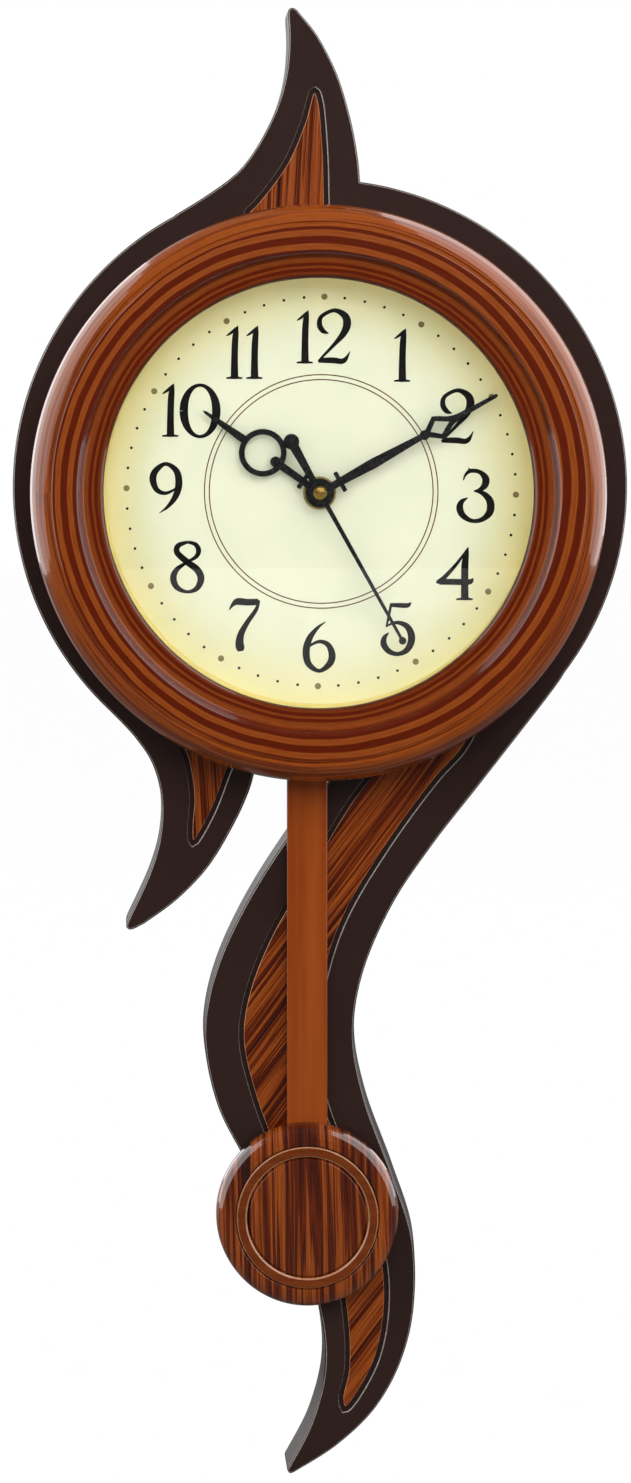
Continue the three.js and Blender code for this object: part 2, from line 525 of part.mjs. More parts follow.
// ---------- pendulum ----------
function pendulum() {
  const [h0, h1] = BAR;
  const lever = join(box(SWING_X - 4, SWING_X + 4, 0.8, 2, -91, -54), disc(SWING_X, -87, 1.5, 1.9, 3.9, 16));
  add('pendulum_lever', lever.subtract(disc(SWING_X, PIVOT_Z, 1.35, 0, 4, 16)), 0xe4e0d2, 0.5);
  add('pendulum_magnet', disc(SWING_X, -70, 4, -1.8, 0.7, 24), 0x6c6f73, 0.35, 1);
  add('pendulum_coil', tube(SWING_X, -70, 2.5, 6.4, -9.4, -2.6, 24), 0xb0602c, 0.35, 0.6);
  const half = BAR_W / 2;
  const section = [[-half, h0], [half, h0], [half, h1 - 0.9], [half - 1.2, h1 - 0.3], [0, h1], [1.2 - half, h1 - 0.3],
    [-half, h1 - 0.9]];
  const strip = new THREE.ExtrudeGeometry(shape(section), { depth: 203.5, bevelEnabled: false });
  const bar = manifold(strip).rotate([0, 0, 180]).translate([SWING_X, FACE, BOB_Z + 10]);
  const tongue = box(SWING_X - 5, SWING_X + 5, 2.3, h1 - 0.3, -92, -83.5);
  const back = box(SWING_X - half - 1, SWING_X + half + 1, 0, 2.3, -92.5, -80);
  const bolts = [-287, -277].map(z => disc(SWING_X, z, 1.3, 0, 5, 12));
  const whole = cut(join(bar, tongue), back, disc(SWING_X, -87, 1.8, 0, 5, 16), ...bolts);
  add('pendulum_bar', whole, 0x93491a, 0.3);
}

const BOB_FRONT = [
  [0, 12.9], [12, 12.8], [22, 12.3], [25, 11.8], [25.2, 10.6], [29.8, 10.6], [30, 11.8], [32.4, 11.9], [35.2, 10.9],
  [37.3, 9], [38.3, 6.8], [BOB_R, 4.4], [36.4, 4.4], [36, 7], [34, 8.6], [0, 8.6]];

function bob() {
  const [h0] = BAR;
  let front = turned(BOB_FRONT, SWING_X, BOB_Z, 40);
  for (const z of [-287, -277]) {
    front = front.add(disc(SWING_X, z, 3, 4.4, 8.8, 16)).subtract(disc(SWING_X, z, 1.3, 4, 8, 12));
  }
  add('bob_front', front, 0x8a4219, 0.15);
  add('bob_ring', turned([[25.5, 10.7], [29.5, 10.7], [29.5, 11.3], [28.4, 11.7], [26.6, 11.7], [25.5, 11.3]],
    SWING_X, BOB_Z, 48), 0x93491a, 0.2);
  const slot = box(SWING_X - BAR_W / 2 - 0.3, SWING_X + BAR_W / 2 + 0.3, h0 - 1, 5, BOB_Z + 9.7, BOB_Z + 50);
  add('bob_back', disc(SWING_X, BOB_Z, 35.8, h0 + 0.2, 4.3, 48).subtract(slot), 0x3a2a22, 0.5);
  add('bob_weight', disc(SWING_X, BOB_Z - 9, 20, 4.5, 8.4, 36), 0x8d9094, 0.4, 1);
  [-287, -277].forEach((z, i) => {
    screw(`bob_screw_${i + 1}`, SWING_X, z, [2.4, 0.2, 1.1], [1.1, 7.6]);
  });
}

backboard();
inlays();
hanger();
bezel();
dialStack();
movement();
gears();
motor();
power();
hands();
pendulum();
bob();

export default group;
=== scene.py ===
"""Wall clock with a swinging pendulum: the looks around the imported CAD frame.

Shapes are drawn in millimetres around the hand shaft: x to the right, z up, and h the height above the
backboard's face. place() turns them into metres in the row frame, from the boxes of the CAD nodes.
"""
import math

import bmesh
import bpy
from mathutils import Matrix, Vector


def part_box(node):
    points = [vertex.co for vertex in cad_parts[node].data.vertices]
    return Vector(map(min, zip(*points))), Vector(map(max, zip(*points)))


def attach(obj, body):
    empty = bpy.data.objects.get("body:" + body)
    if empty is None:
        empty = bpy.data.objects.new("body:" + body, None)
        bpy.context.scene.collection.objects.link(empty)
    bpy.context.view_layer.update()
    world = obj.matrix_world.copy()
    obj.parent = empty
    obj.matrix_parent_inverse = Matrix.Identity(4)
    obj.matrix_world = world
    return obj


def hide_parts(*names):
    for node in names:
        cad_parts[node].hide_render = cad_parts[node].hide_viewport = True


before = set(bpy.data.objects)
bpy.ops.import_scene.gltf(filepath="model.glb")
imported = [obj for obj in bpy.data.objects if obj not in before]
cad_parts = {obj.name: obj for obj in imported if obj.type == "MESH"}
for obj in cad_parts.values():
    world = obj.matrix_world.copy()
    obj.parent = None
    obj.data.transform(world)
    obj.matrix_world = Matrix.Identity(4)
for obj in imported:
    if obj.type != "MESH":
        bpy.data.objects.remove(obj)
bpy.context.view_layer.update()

MM = 0.001


def centre(node):
    lo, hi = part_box(node)
    return (lo + hi) / 2


SHAFT = centre("hour_wheel")
FACE_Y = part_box("backboard")[0].y


def from_shaft(node):
    """x and z of the middle of a CAD node, in mm from the hand shaft."""
    at = centre(node)
    return (at.x - SHAFT.x) / MM, (at.z - SHAFT.z) / MM


RING = from_shaft("lens")
PENDULUM_X = from_shaft("pendulum_bar")[0]
BOB_Z = from_shaft("bob_front")[1]


def place(x, z, h=0.0):
    return Vector((SHAFT.x + x * MM, FACE_Y - h * MM, SHAFT.z + z * MM))


# ---------- outlines ----------
def hermite(p, q, u, v, t):
    return ((2 * p - 2 * q + u + v) * t ** 3 + (-3 * p + 3 * q - 2 * u - v) * t ** 2 + u * t + p)


def smooth(points, step):
    """Points along a smooth open line through the given ones, about one every step."""
    p = [Vector(a) for a in points]
    out = [p[0]]
    for i in range(len(p) - 1):
        a, b, c, d = p[max(i - 1, 0)], p[i], p[i + 1], p[min(i + 2, len(p) - 1)]
        n = max(2, round((c - b).length / step))
        out += [hermite(b, c, (c - a) / 2, (d - b) / 2, k / n) for k in range(1, n + 1)]
    return [tuple(q) for q in out]


def smooth_closed(points, step):
    """The same for a closed line, with tangents that suit uneven spacing."""
    p = [Vector(a) for a in points]
    n = len(p)
    out = []
    for i in range(n):
        a, b, c, d = p[i - 1], p[i], p[(i + 1) % n], p[(i + 2) % n]
        s0, s1, s2 = (max((k - j).length, 1e-6) ** 0.5 for j, k in ((a, b), (b, c), (c, d)))
        u = ((b - a) / s0 - (c - a) / (s0 + s1) + (c - b) / s1) * s1
        v = ((c - b) / s1 - (d - b) / (s1 + s2) + (d - c) / s2) * s1
        m = max(2, round((c - b).length / step))
        out += [hermite(b, c, u, v, k / m) for k in range(m)]
    return counter_clockwise([tuple(q) for q in out])


def area(points):
    return sum(a[0] * b[1] - b[0] * a[1] for a, b in zip(points, points[1:] + points[:1])) / 2


def counter_clockwise(points):
    return points if area(points) > 0 else points[::-1]


def arc(x, z, r, start, end, n):
    angles = [math.radians(start + (end - start) * i / n) for i in range(n + 1)]
    return [(x + r * math.cos(a), z + r * math.sin(a)) for a in angles]


def circle(x, z, r, n=96):
    return arc(x, z, r, 0, 360, n)[:-1]


def rectangle(x0, x1, z0, z1):
    return [(x0, z0), (x1, z0), (x1, z1), (x0, z1)]


def tube(r0, r1, h0, h1):
    """The profile of a tube between two radii and two heights."""
    return rectangle(r0, r1, h0, h1)


def joined(*stretches):
    """One closed outline from stretches that share their end points."""
    points = [p for s in stretches for p in s]
    return [p for p, q in zip(points, points[1:] + points[:1]) if math.dist(p, q) > 0.05]


def moved(points, d):
    """Every point moved by d along the outward normal of a counter-clockwise outline."""
    out = []
    for i, p in enumerate(points):
        a, b = points[i - 1], points[(i + 1) % len(points)]
        u = Vector((p[0] - a[0], p[1] - a[1])).normalized()
        v = Vector((b[0] - p[0], b[1] - p[1])).normalized()
        m = Vector((u.y + v.y, -u.x - v.x)).normalized()
        k = d / max(0.6, m.x * u.y - m.y * u.x)
        out.append((p[0] + m.x * k, p[1] + m.y * k))
    return out


def away(p, points):
    """Distance from p to the nearest stretch of an outline."""
    best = 1e9
    for a, b in zip(points, points[1:] + points[:1]):
        dx, dz = b[0] - a[0], b[1] - a[1]
        if abs(a[0] - p[0]) > 12 or abs(a[1] - p[1]) > 12:
            continue
        t = min(1, max(0, ((p[0] - a[0]) * dx + (p[1] - a[1]) * dz) / (dx * dx + dz * dz)))
        best = min(best, math.hypot(p[0] - a[0] - t * dx, p[1] - a[1] - t * dz))
    return best


def set_in(points, d):
    """The outline set in by d, without the loops that a sharp tip would give."""
    return joined([p for p in moved(points, -d) if away(p, points) > d * 0.97])


def rounded_box(x0, x1, z0, z1, r, n=6):
    return joined(arc(x1 - r, z1 - r, r, 0, 90, n), arc(x0 + r, z1 - r, r, 90, 180, n),
                  arc(x0 + r, z0 + r, r, 180, 270, n), arc(x1 - r, z0 + r, r, 270, 360, n))


def filleted(profile, n=4):
    """A closed profile of (r, h) or (r, h, radius) with its corners rounded to that radius."""
    out = []
    for i, corner in enumerate(profile):
        p = Vector(corner[:2])
        radius = corner[2] if len(corner) > 2 else 0
        a = Vector(profile[i - 1][:2]) - p
        b = Vector(profile[(i + 1) % len(profile)][:2]) - p
        turn = a.angle(b, math.pi)
        if radius == 0 or turn > math.pi - 0.02:
            out.append(tuple(p))
            continue
        cut = min(radius / math.tan(turn / 2), a.length * 0.49, b.length * 0.49)
        start, end = p + a.normalized() * cut, p + b.normalized() * cut
        for k in range(n + 1):
            t = k / n
            out.append(tuple(start * (1 - t) ** 2 + p * 2 * t * (1 - t) + end * t ** 2))
    return out


# ---------- meshes ----------
def make(name, bm, material, sharp=35, second=None):
    """A new object from a bmesh. Its faces with material index 1 get the second material."""
    bmesh.ops.recalc_face_normals(bm, faces=bm.faces)
    mesh = bpy.data.meshes.new(name)
    for used in filter(None, (material, second)):
        mesh.materials.append(used)
    bm.to_mesh(mesh)
    bm.free()
    mesh.shade_smooth()
    mesh.set_sharp_from_angle(angle=math.radians(sharp))
    piece = bpy.data.objects.new(name, mesh)
    bpy.context.scene.collection.objects.link(piece)
    return piece


def evaluated(piece):
    graph = bpy.context.evaluated_depsgraph_get()
    mesh = bpy.data.meshes.new_from_object(piece.evaluated_get(graph), depsgraph=graph)
    piece.modifiers.clear()
    piece.data = mesh
    return mesh


def piece_of(piece, body, slot, *nodes):
    """Rides on body. Normals are weighted by area, so that rounded edges don't bend light on flat faces."""
    m = piece.modifiers.new("normals", "WEIGHTED_NORMAL")
    m.keep_sharp = True
    evaluated(piece)
    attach(piece, body)
    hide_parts(*nodes)
    return piece


def ring_of(bm, points, h):
    return [bm.verts.new(place(x, z, h)) for x, z in points]


def bridge(bm, a, b, material=0):
    n = len(a)
    for i in range(n):
        bm.faces.new((a[i], a[(i + 1) % n], b[(i + 1) % n], b[i])).material_index = material


def loft(bm, rings, highlight_step=None):
    """Walls from each ring to the next. The step with the given index gets the second material, which paints
    a highlight on it.
    """
    for i, (a, b) in enumerate(zip(rings, rings[1:])):
        bridge(bm, a, b, int(i == highlight_step))


def fill(bm, *loops):
    edges = []
    for loop in loops:
        for a, b in zip(loop, loop[1:] + loop[:1]):
            edges.append(bm.edges.get((a, b)) or bm.edges.new((a, b)))
    bmesh.ops.triangle_fill(bm, use_beauty=True, use_dissolve=False, edges=edges)


def edge_steps(radius, n=4):
    """(set in, below the face) along a rounded edge, from its side to its face."""
    steps = [math.radians(90 * k / n) for k in range(n + 1)]
    return [(radius * (1 - math.cos(a)), radius * (1 - math.sin(a))) for a in steps]


def slab(bm, outer, holes, h0, h1, edge=0.0):
    """A flat solid between heights h0 and h1, with holes, its edges rounded at both faces."""
    front, back = [], []
    for k, loop in enumerate([outer, *holes]):
        loop = counter_clockwise(loop)
        sign = -1 if k == 0 else 1
        steps = edge_steps(edge, 3) if edge else [(0, 0)]
        rings = [ring_of(bm, moved(loop, sign * s) if s else loop, h0 + d) for s, d in reversed(steps)]
        rings += [ring_of(bm, moved(loop, sign * s) if s else loop, h1 - d) for s, d in steps]
        loft(bm, rings)
        back.append(rings[0])
        front.append(rings[-1])
    fill(bm, *front)
    fill(bm, *back)


def spin(bm, profile, angles, at):
    """A closed profile of (r, h) turned round an axis. at(degrees, r, h) says where each of its points is."""
    on_axis = {i: bm.verts.new(at(0, r, h)) for i, (r, h) in enumerate(profile) if r < 1e-6}
    columns = [[on_axis.get(i) or bm.verts.new(at(a, r, h)) for i, (r, h) in enumerate(profile)]
               for a in angles]
    for a, b in zip(columns, columns[1:] + columns[:1]):
        for i in range(len(profile)):
            j = (i + 1) % len(profile)
            corners = list(dict.fromkeys((a[i], a[j], b[j], b[i])))
            if len(corners) > 2:
                bm.faces.new(corners)


def full_turn(n):
    return [360 * i / n for i in range(n)]


def lathe(bm, profile, x=0.0, z=0.0, n=192):
    """A profile turned round an axis along Y through x, z."""
    spin(bm, profile, full_turn(n), lambda a, r, h: round_axis(x, z, a, r, h))


def round_axis(x, z, degrees, r, h):
    a = math.radians(degrees)
    return place(x + r * math.cos(a), z + r * math.sin(a), h)


def second_material(bm, x, z, wanted):
    """Gives the second material to the faces whose middle passes wanted(r, h), r being taken from x, z."""
    axis = place(x, z)
    for face in bm.faces:
        c = (face.calc_center_median() - axis) / MM
        face.material_index = int(wanted(math.hypot(c.x, c.z), -c.y))


def turned(name, profile, material, x=0.0, z=0.0, n=192):
    bm = bmesh.new()
    lathe(bm, profile, x, z, n)
    return make(name, bm, material)


def plate(name, outer, holes, h0, h1, material, edge=0.0):
    bm = bmesh.new()
    slab(bm, outer, holes, h0, h1, edge)
    return make(name, bm, material)


def applied(piece, sharp=35):
    """The piece with its modifiers applied."""
    mesh = evaluated(piece)
    mesh.shade_smooth()
    mesh.set_sharp_from_angle(angle=math.radians(sharp))
    return piece


def combined(piece, tools, operation, sharp=35):
    """The piece joined with, or cut by, the tools, which are then gone."""
    for tool in tools:
        m = piece.modifiers.new("solid", "BOOLEAN")
        m.operation, m.solver, m.object = operation, "EXACT", tool
    applied(piece, sharp)
    for tool in tools:
        bpy.data.objects.remove(tool)
    return piece


def bevelled(piece, width):
    m = piece.modifiers.new("edges", "BEVEL")
    m.width, m.segments = width * MM, 2
    m.limit_method, m.angle_limit = "ANGLE", math.radians(40)
    return applied(piece, 50)


# ---------- materials ----------
def rgb(r, g, b):
    """An sRGB colour of 0 to 255 as the linear colour that a shader takes."""
    channels = [c / 255 / 12.92 if c <= 10 else ((c / 255 + 0.055) / 1.055) ** 2.4 for c in (r, g, b)]
    return (*channels, 1)


class Look:
    """A material with one Principled shader, and short ways to add nodes to it."""

    def __init__(self, name, **sockets):
        self.material = bpy.data.materials.new(name)
        self.material.use_nodes = True
        self.tree = self.material.node_tree
        self.shader = self.tree.nodes["Principled BSDF"]
        for key, value in sockets.items():
            self.shader.inputs[key.replace("_", " ")].default_value = value

    def add(self, kind, settings=None, **inputs):
        """A new node. Inputs are named as on the node, or by number as i0, i1 and so on."""
        node = self.tree.nodes.new(kind)
        for key, value in (settings or {}).items():
            setattr(node, key, value)
        for key, value in inputs.items():
            self.feed(node.inputs[int(key[1:]) if key[1:].isdigit() else key.replace("_", " ")], value)
        return node

    def feed(self, socket, value):
        """Links another node's output to the socket, or sets its value."""
        if isinstance(value, bpy.types.NodeSocket):
            self.tree.links.new(value, socket)
        else:
            socket.default_value = value

    def link(self, output, socket):
        self.tree.links.new(output, self.shader.inputs[socket])

    def coordinates(self, turn=0.0, scale=(1, 1, 1), origin=(0, 0, 0)):
        """Object coordinates from origin, turned about Y by degrees, then scaled."""
        base = self.add("ShaderNodeTexCoord").outputs["Object"]
        at = self.vector("SUBTRACT", base, tuple(origin))
        spun = self.add("ShaderNodeVectorRotate", {"rotation_type": "Y_AXIS"}, Vector=at,
                        Angle=math.radians(turn))
        return self.vector("MULTIPLY", spun.outputs[0], tuple(scale))

    def vector(self, operation, a, b):
        return self.add("ShaderNodeVectorMath", {"operation": operation}, i0=a, i1=b).outputs[0]

    def combine(self, x, y=0.0, z=0.0):
        return self.add("ShaderNodeCombineXYZ", None, X=x, Y=y, Z=z).outputs[0]

    def axes(self, vector):
        return self.add("ShaderNodeSeparateXYZ", None, Vector=vector).outputs

    def noise(self, vector, scale=1.0, detail=2.0, roughness=0.5, distortion=0.0):
        return self.add("ShaderNodeTexNoise", None, Vector=vector, Scale=scale, Detail=detail,
                        Roughness=roughness, Distortion=distortion).outputs[0]

    def math(self, operation, a, b=0.0):
        return self.add("ShaderNodeMath", {"operation": operation}, i0=a, i1=b).outputs[0]

    def plus(self, a, b):
        return self.math("ADD", a, b)

    def minus(self, a, b):
        return self.math("SUBTRACT", a, b)

    def times(self, a, b):
        return self.math("MULTIPLY", a, b)

    def ramp(self, value, stops, interpolation="LINEAR"):
        """A colour ramp with stops of (position, sRGB colour of 0 to 255) or (position, linear grey)."""
        node = self.add("ShaderNodeValToRGB", None, Fac=value)
        node.color_ramp.interpolation = interpolation
        elements = node.color_ramp.elements
        elements.remove(elements[1])
        for k, (position, colour) in enumerate(stops):
            element = elements.new(position) if k else elements[0]
            element.position = position
            element.color = rgb(*colour) if isinstance(colour, tuple) else (colour, colour, colour, 1)
        return node.outputs[0]

    def range(self, value, low, high, out_low, out_high):
        return self.add("ShaderNodeMapRange", None, Value=value, From_Min=low, From_Max=high,
                        To_Min=out_low, To_Max=out_high).outputs[0]

    def mix(self, factor, a, b, blend="MIX"):
        node = self.add("ShaderNodeMix", {"data_type": "RGBA", "blend_type": blend})
        for i, value in ((0, factor), (6, a), (7, b)):
            self.feed(node.inputs[i], value)
        return node.outputs[2]

    def bump(self, height, distance, strength=1.0):
        node = self.add("ShaderNodeBump", None, Height=height, Distance=distance, Strength=strength)
        self.link(node.outputs[0], "Normal")

    def radius(self, x, z):
        """Distance in metres from the axis along Y through x, z, angle round it, and place across it."""
        v = self.coordinates(origin=place(x, z), scale=(1, 0, 1))
        across = self.axes(v)
        r = self.add("ShaderNodeVectorMath", {"operation": "LENGTH"}, i0=v).outputs["Value"]
        return r, self.math("ARCTAN2", across[2], across[0]), v


def lacquer():
    """Dark brown gloss lacquer, with the slight waves and dust of a sprayed finish."""
    look = Look("dark_lacquer", Roughness=0.16, IOR=1.5, Coat_Weight=0.35, Coat_Roughness=0.04)
    v = look.coordinates()
    cloud = look.noise(v, 9, 3)
    look.link(look.ramp(cloud, [(0.3, (46, 31, 28)), (0.7, (54, 37, 33))]), "Base Color")
    look.link(look.range(look.noise(v, 240, 2), 0.3, 0.7, 0.13, 0.22), "Roughness")
    look.bump(look.noise(v, 160, 2), 0.00002, 0.5)
    return look.material


ORANGE, AMBER, RUST, DARK, COAL = (168, 84, 28), (150, 70, 20), (110, 40, 9), (74, 24, 8), (48, 20, 15)


def striped_wood(name, turn, origin, spacing, shift, bias, **sockets):
    """Zebra wood under gloss lacquer: uneven dark and light stripes along the grain, which is turned from the
    upright by degrees. Spacing widens the stripes, shift picks a stretch of them, and bias lightens them."""
    gloss = {"Roughness": 0.14, "IOR": 1.5, "Coat_Weight": 0.6, "Coat_Roughness": 0.03}
    look = Look(name, **{**gloss, **sockets})
    v = look.coordinates(turn, (1, 1, 1), origin)
    bend = look.minus(look.noise(look.vector("MULTIPLY", v, (60, 0, 14)), 1, 1), 0.5)
    axes = look.axes(v)
    across = look.plus(look.plus(axes[0], look.times(bend, 0.003)), shift)

    def streaks(per_metre, along, detail):
        at = look.combine(look.times(across, per_metre / spacing), 0, look.times(axes[2], along))
        return look.noise(at, 1, detail, 0.55)

    broad, narrow, fine = streaks(330, 5, 1), streaks(900, 9, 1.5), streaks(3200, 40, 2)
    tone = look.plus(look.plus(look.times(broad, 0.55), look.times(narrow, 0.45)), bias)
    colour = look.ramp(tone, [(0.36, COAL), (0.42, DARK), (0.46, RUST), (0.485, DARK), (0.51, AMBER),
                              (0.56, ORANGE), (0.60, RUST), (0.64, AMBER), (0.70, ORANGE)])
    pores = look.ramp(fine, [(0.38, (150, 120, 100)), (0.52, (255, 255, 255))])
    look.link(look.mix(0.55, colour, pores, "MULTIPLY"), "Base Color")
    look.link(look.range(narrow, 0.3, 0.7, 0.1, 0.2), "Roughness")
    look.bump(fine, 0.00002, 0.25)
    return look.material


def plain_wood(name, turn=0.0, dark=(144, 63, 16), middle=(155, 71, 20), light=(163, 78, 24)):
    """Even reddish-brown wood stain under lacquer, with faint grain."""
    look = Look(name, Roughness=0.2, IOR=1.5, Coat_Weight=0.5, Coat_Roughness=0.06)
    v = look.coordinates(turn, (260, 260, 9))
    grain = look.noise(v, 1, 4, 0.6, 0.4)
    look.link(look.ramp(grain, [(0.32, dark), (0.5, middle), (0.68, light)]), "Base Color")
    look.link(look.range(grain, 0.3, 0.7, 0.16, 0.25), "Roughness")
    look.bump(grain, 0.00003, 0.3)
    return look.material


SHADING_CENTRE = (-0.8, 0.7)            # middle of the dial's pale part
INNER_BANDS = [  # radius, colour: the rings of grain between the opening and the step; the darkest, at the opening's edge, is painted shade
    (89.0, (70, 20, 3)), (90.0, (104, 42, 12)), (91.0, (128, 54, 14)), (91.4, (98, 29, 3)),
    (92.6, (98, 29, 3)), (92.9, (140, 62, 18)), (93.6, (136, 60, 16)), (93.9, (96, 28, 3)),
    (94.9, (104, 32, 4)), (95.4, (136, 62, 16)), (97.0, (146, 70, 22)), (97.9, (124, 54, 15)),
    (98.3, (104, 38, 8)), (99.0, (98, 34, 6))]
SPIRAL = [  # turns clockwise from the right, and the part of the pitch that the band has moved inwards
    (0.0, 0.0), (0.14, 0.27), (0.28, 0.45), (0.5, 0.42), (0.69, 0.5), (0.83, 0.67), (0.92, 0.87), (1.0, 1.0)]
SPIRAL_START, SPIRAL_PITCH = 107.9, 6.2
BAND_PITCH, BAND_SWAY = 5.6, 0.6        # width of a dark and a light band together, more on the right
RIPPLE, DRIFT = 0.9, 1.4                # how far the grain strays from round
STEP_R, RIM_R = 99.2, 109.9             # where the inner rings end, and where the plainer rim begins


def moulding_wood():
    """The bezel's stain: rings of grain inside the step, one band that winds outwards round the flat part,
    and a plainer orange rim with a few darker streaks."""
    look = Look("bezel_wood", Roughness=0.14, IOR=1.5, Specular_IOR_Level=0.5, Coat_Weight=0.7,
                Coat_Roughness=0.03)
    r, angle, flat = look.radius(*RING)
    ripple = look.minus(look.noise(flat, 60, 2), 0.5)
    drift = look.minus(look.noise(flat, 16, 1), 0.5)
    r = look.plus(r, look.times(ripple, RIPPLE * MM))
    turn = look.math("FRACT", look.times(angle, -0.5 / math.pi))

    ring = look.plus(r, look.times(drift, DRIFT * MM))
    low, high = INNER_BANDS[0][0], INNER_BANDS[-1][0]
    inner = look.ramp(look.range(ring, low * MM, high * MM, 0, 1),
                      [((a - low) / (high - low), colour) for a, colour in INNER_BANDS])

    winding = look.ramp(turn, SPIRAL)
    pitch = look.plus(look.times(look.math("COSINE", angle), BAND_SWAY * MM), BAND_PITCH * MM)
    first = look.minus(SPIRAL_START * MM, look.times(winding, SPIRAL_PITCH * MM))
    phase = look.plus(look.math("DIVIDE", look.minus(first, r), pitch), 2)
    phase = look.plus(phase, look.times(drift, 0.25))
    dark, edge, orange, amber = (98, 28, 2), (112, 38, 6), (156, 76, 24), (148, 70, 21)
    band = look.ramp(look.math("FRACT", phase), [
        (0.0, dark), (0.2, dark), (0.25, edge), (0.29, orange), (0.45, amber), (0.68, orange), (0.73, edge),
        (0.78, dark), (1.0, dark)])

    around = look.combine(look.times(r, 700), look.times(angle, 1.3))
    lower = look.range(look.math("ABSOLUTE", look.minus(turn, 0.3)), 0.2, 0.33, 1, 0)
    streak = look.range(look.plus(look.noise(around, 1, 2), look.times(lower, 0.07)), 0.55, 0.61, 0, 1)
    rim = look.mix(look.times(streak, 0.75), rgb(156, 75, 20), rgb(112, 42, 8))

    bands = look.mix(look.math("GREATER_THAN", r, STEP_R * MM), inner, band)
    bands = look.mix(look.range(r, (RIM_R - 0.2) * MM, (RIM_R + 0.2) * MM, 0, 1), bands, rim)
    grain = look.noise(look.combine(look.times(r, 2600), look.times(angle, 9)), 1, 3, 0.6)
    fine = look.ramp(grain, [(0.36, (196, 180, 170)), (0.55, (255, 255, 255))])
    look.link(look.mix(0.5, bands, fine, "MULTIPLY"), "Base Color")
    look.link(look.range(grain, 0.3, 0.7, 0.1, 0.18), "Roughness")
    look.bump(grain, 0.00002, 0.25)
    return look.material


def dial_paper():
    """Printed cream dial: pale middle and a printed khaki tint towards the rim, with painted light that makes
    the rim lighter at the top, against the bezel's shade there, and a little lighter at the bottom.
    """
    look = Look("dial_print", Roughness=0.5, IOR=1.45, Specular_IOR_Level=0.3)
    r, _, flat = look.radius(*SHADING_CENTRE)
    edge = look.plus(r, look.times(look.minus(look.noise(flat, 24, 2), 0.5), 0.009))
    axes = look.axes(flat)
    reach = look.range(edge, 0.060, 0.092, 0, 1)
    sides = look.ramp(reach, [(0.0, (225, 226, 200)), (0.3, (223, 223, 192)), (0.5, (221, 218, 177)),
                              (0.7, (223, 216, 165)), (1.0, (227, 216, 151))])
    # Painted light: this ramp lightens the rim at the top, against the bezel's shade, and the next lightens
    # it at the bottom.
    top = look.ramp(reach, [(0.0, (224, 225, 199)), (0.35, (225, 223, 188)), (0.6, (232, 228, 182)),
                            (1.0, (246, 237, 182))])
    low = look.ramp(reach, [(0.0, (225, 226, 200)), (0.6, (226, 224, 184)), (1.0, (234, 229, 172))])
    # Masks for the painted light at the top and at the bottom of the rim.
    top_painted_light_mask = look.range(look.plus(axes[2], look.times(axes[0], 0.4)), 0.02, 0.085, 0, 1)
    lower = look.range(axes[2], -0.02, -0.08, 0, 1)
    look.link(look.mix(top_painted_light_mask, look.mix(lower, sides, low), top), "Base Color")
    fibre = look.noise(look.coordinates(), 900, 3)
    look.link(look.range(fibre, 0.3, 0.7, 0.42, 0.55), "Roughness")
    look.bump(fibre, 0.00001, 0.3)
    return look.material


def tinted(name, dark, light, scale, roughness, bump=0.00002, **sockets):
    """A finish with fine mottling between two close colours."""
    look = Look(name, **sockets)
    v = look.coordinates()
    n = look.noise(v, scale, 3, 0.6)
    look.link(look.ramp(n, [(0.32, dark), (0.68, light)]), "Base Color")
    look.link(look.range(look.noise(v, scale * 2.3, 2), 0.3, 0.7, *roughness), "Roughness")
    look.bump(n, bump, 0.5)
    return look.material


def brushed(name, dark, light, turn=0.0, roughness=(0.22, 0.36)):
    """Metal with fine lines along one direction."""
    look = Look(name, Metallic=1.0)
    lines = look.noise(look.coordinates(turn, (60, 2600, 2600)), 1, 3, 0.6)
    look.link(look.ramp(lines, [(0.3, dark), (0.7, light)]), "Base Color")
    look.link(look.range(lines, 0.3, 0.7, *roughness), "Roughness")
    look.bump(lines, 0.00001, 0.3)
    return look.material


def clear_glass():
    """Clear lens. Lamps' rays pass straight through, so that the dial behind it is lit."""
    look = Look("lens_glass", Roughness=0.0, IOR=1.46, Transmission_Weight=1.0)
    dust = look.noise(look.coordinates(), 60, 2)
    look.link(look.ramp(dust, [(0.3, (250, 253, 252)), (0.7, (255, 255, 255))]), "Base Color")
    clear = look.add("ShaderNodeBsdfTransparent")
    path = look.add("ShaderNodeLightPath")
    mixed = look.add("ShaderNodeMixShader", None, i0=path.outputs["Is Shadow Ray"], i1=look.shader.outputs[0],
                     i2=clear.outputs[0])
    look.feed(look.tree.nodes["Material Output"].inputs["Surface"], mixed.outputs[0])
    return look.material


LACQUER = lacquer()
BEZEL_WOOD = moulding_wood()
# Pale tint that paints highlights on the lacquer's edges and the recesses' lips.
EDGE_HIGHLIGHT = tinted("painted_edge_highlight", (132, 124, 120), (168, 160, 155), 500, (0.16, 0.26), Coat_Weight=0.6)
# Pale wood tint that paints highlights on rounded wooden edges.
WOOD_EDGE_HIGHLIGHT = tinted("painted_wood_highlight", (176, 120, 86), (204, 150, 112), 500, (0.16, 0.26), Coat_Weight=0.6)
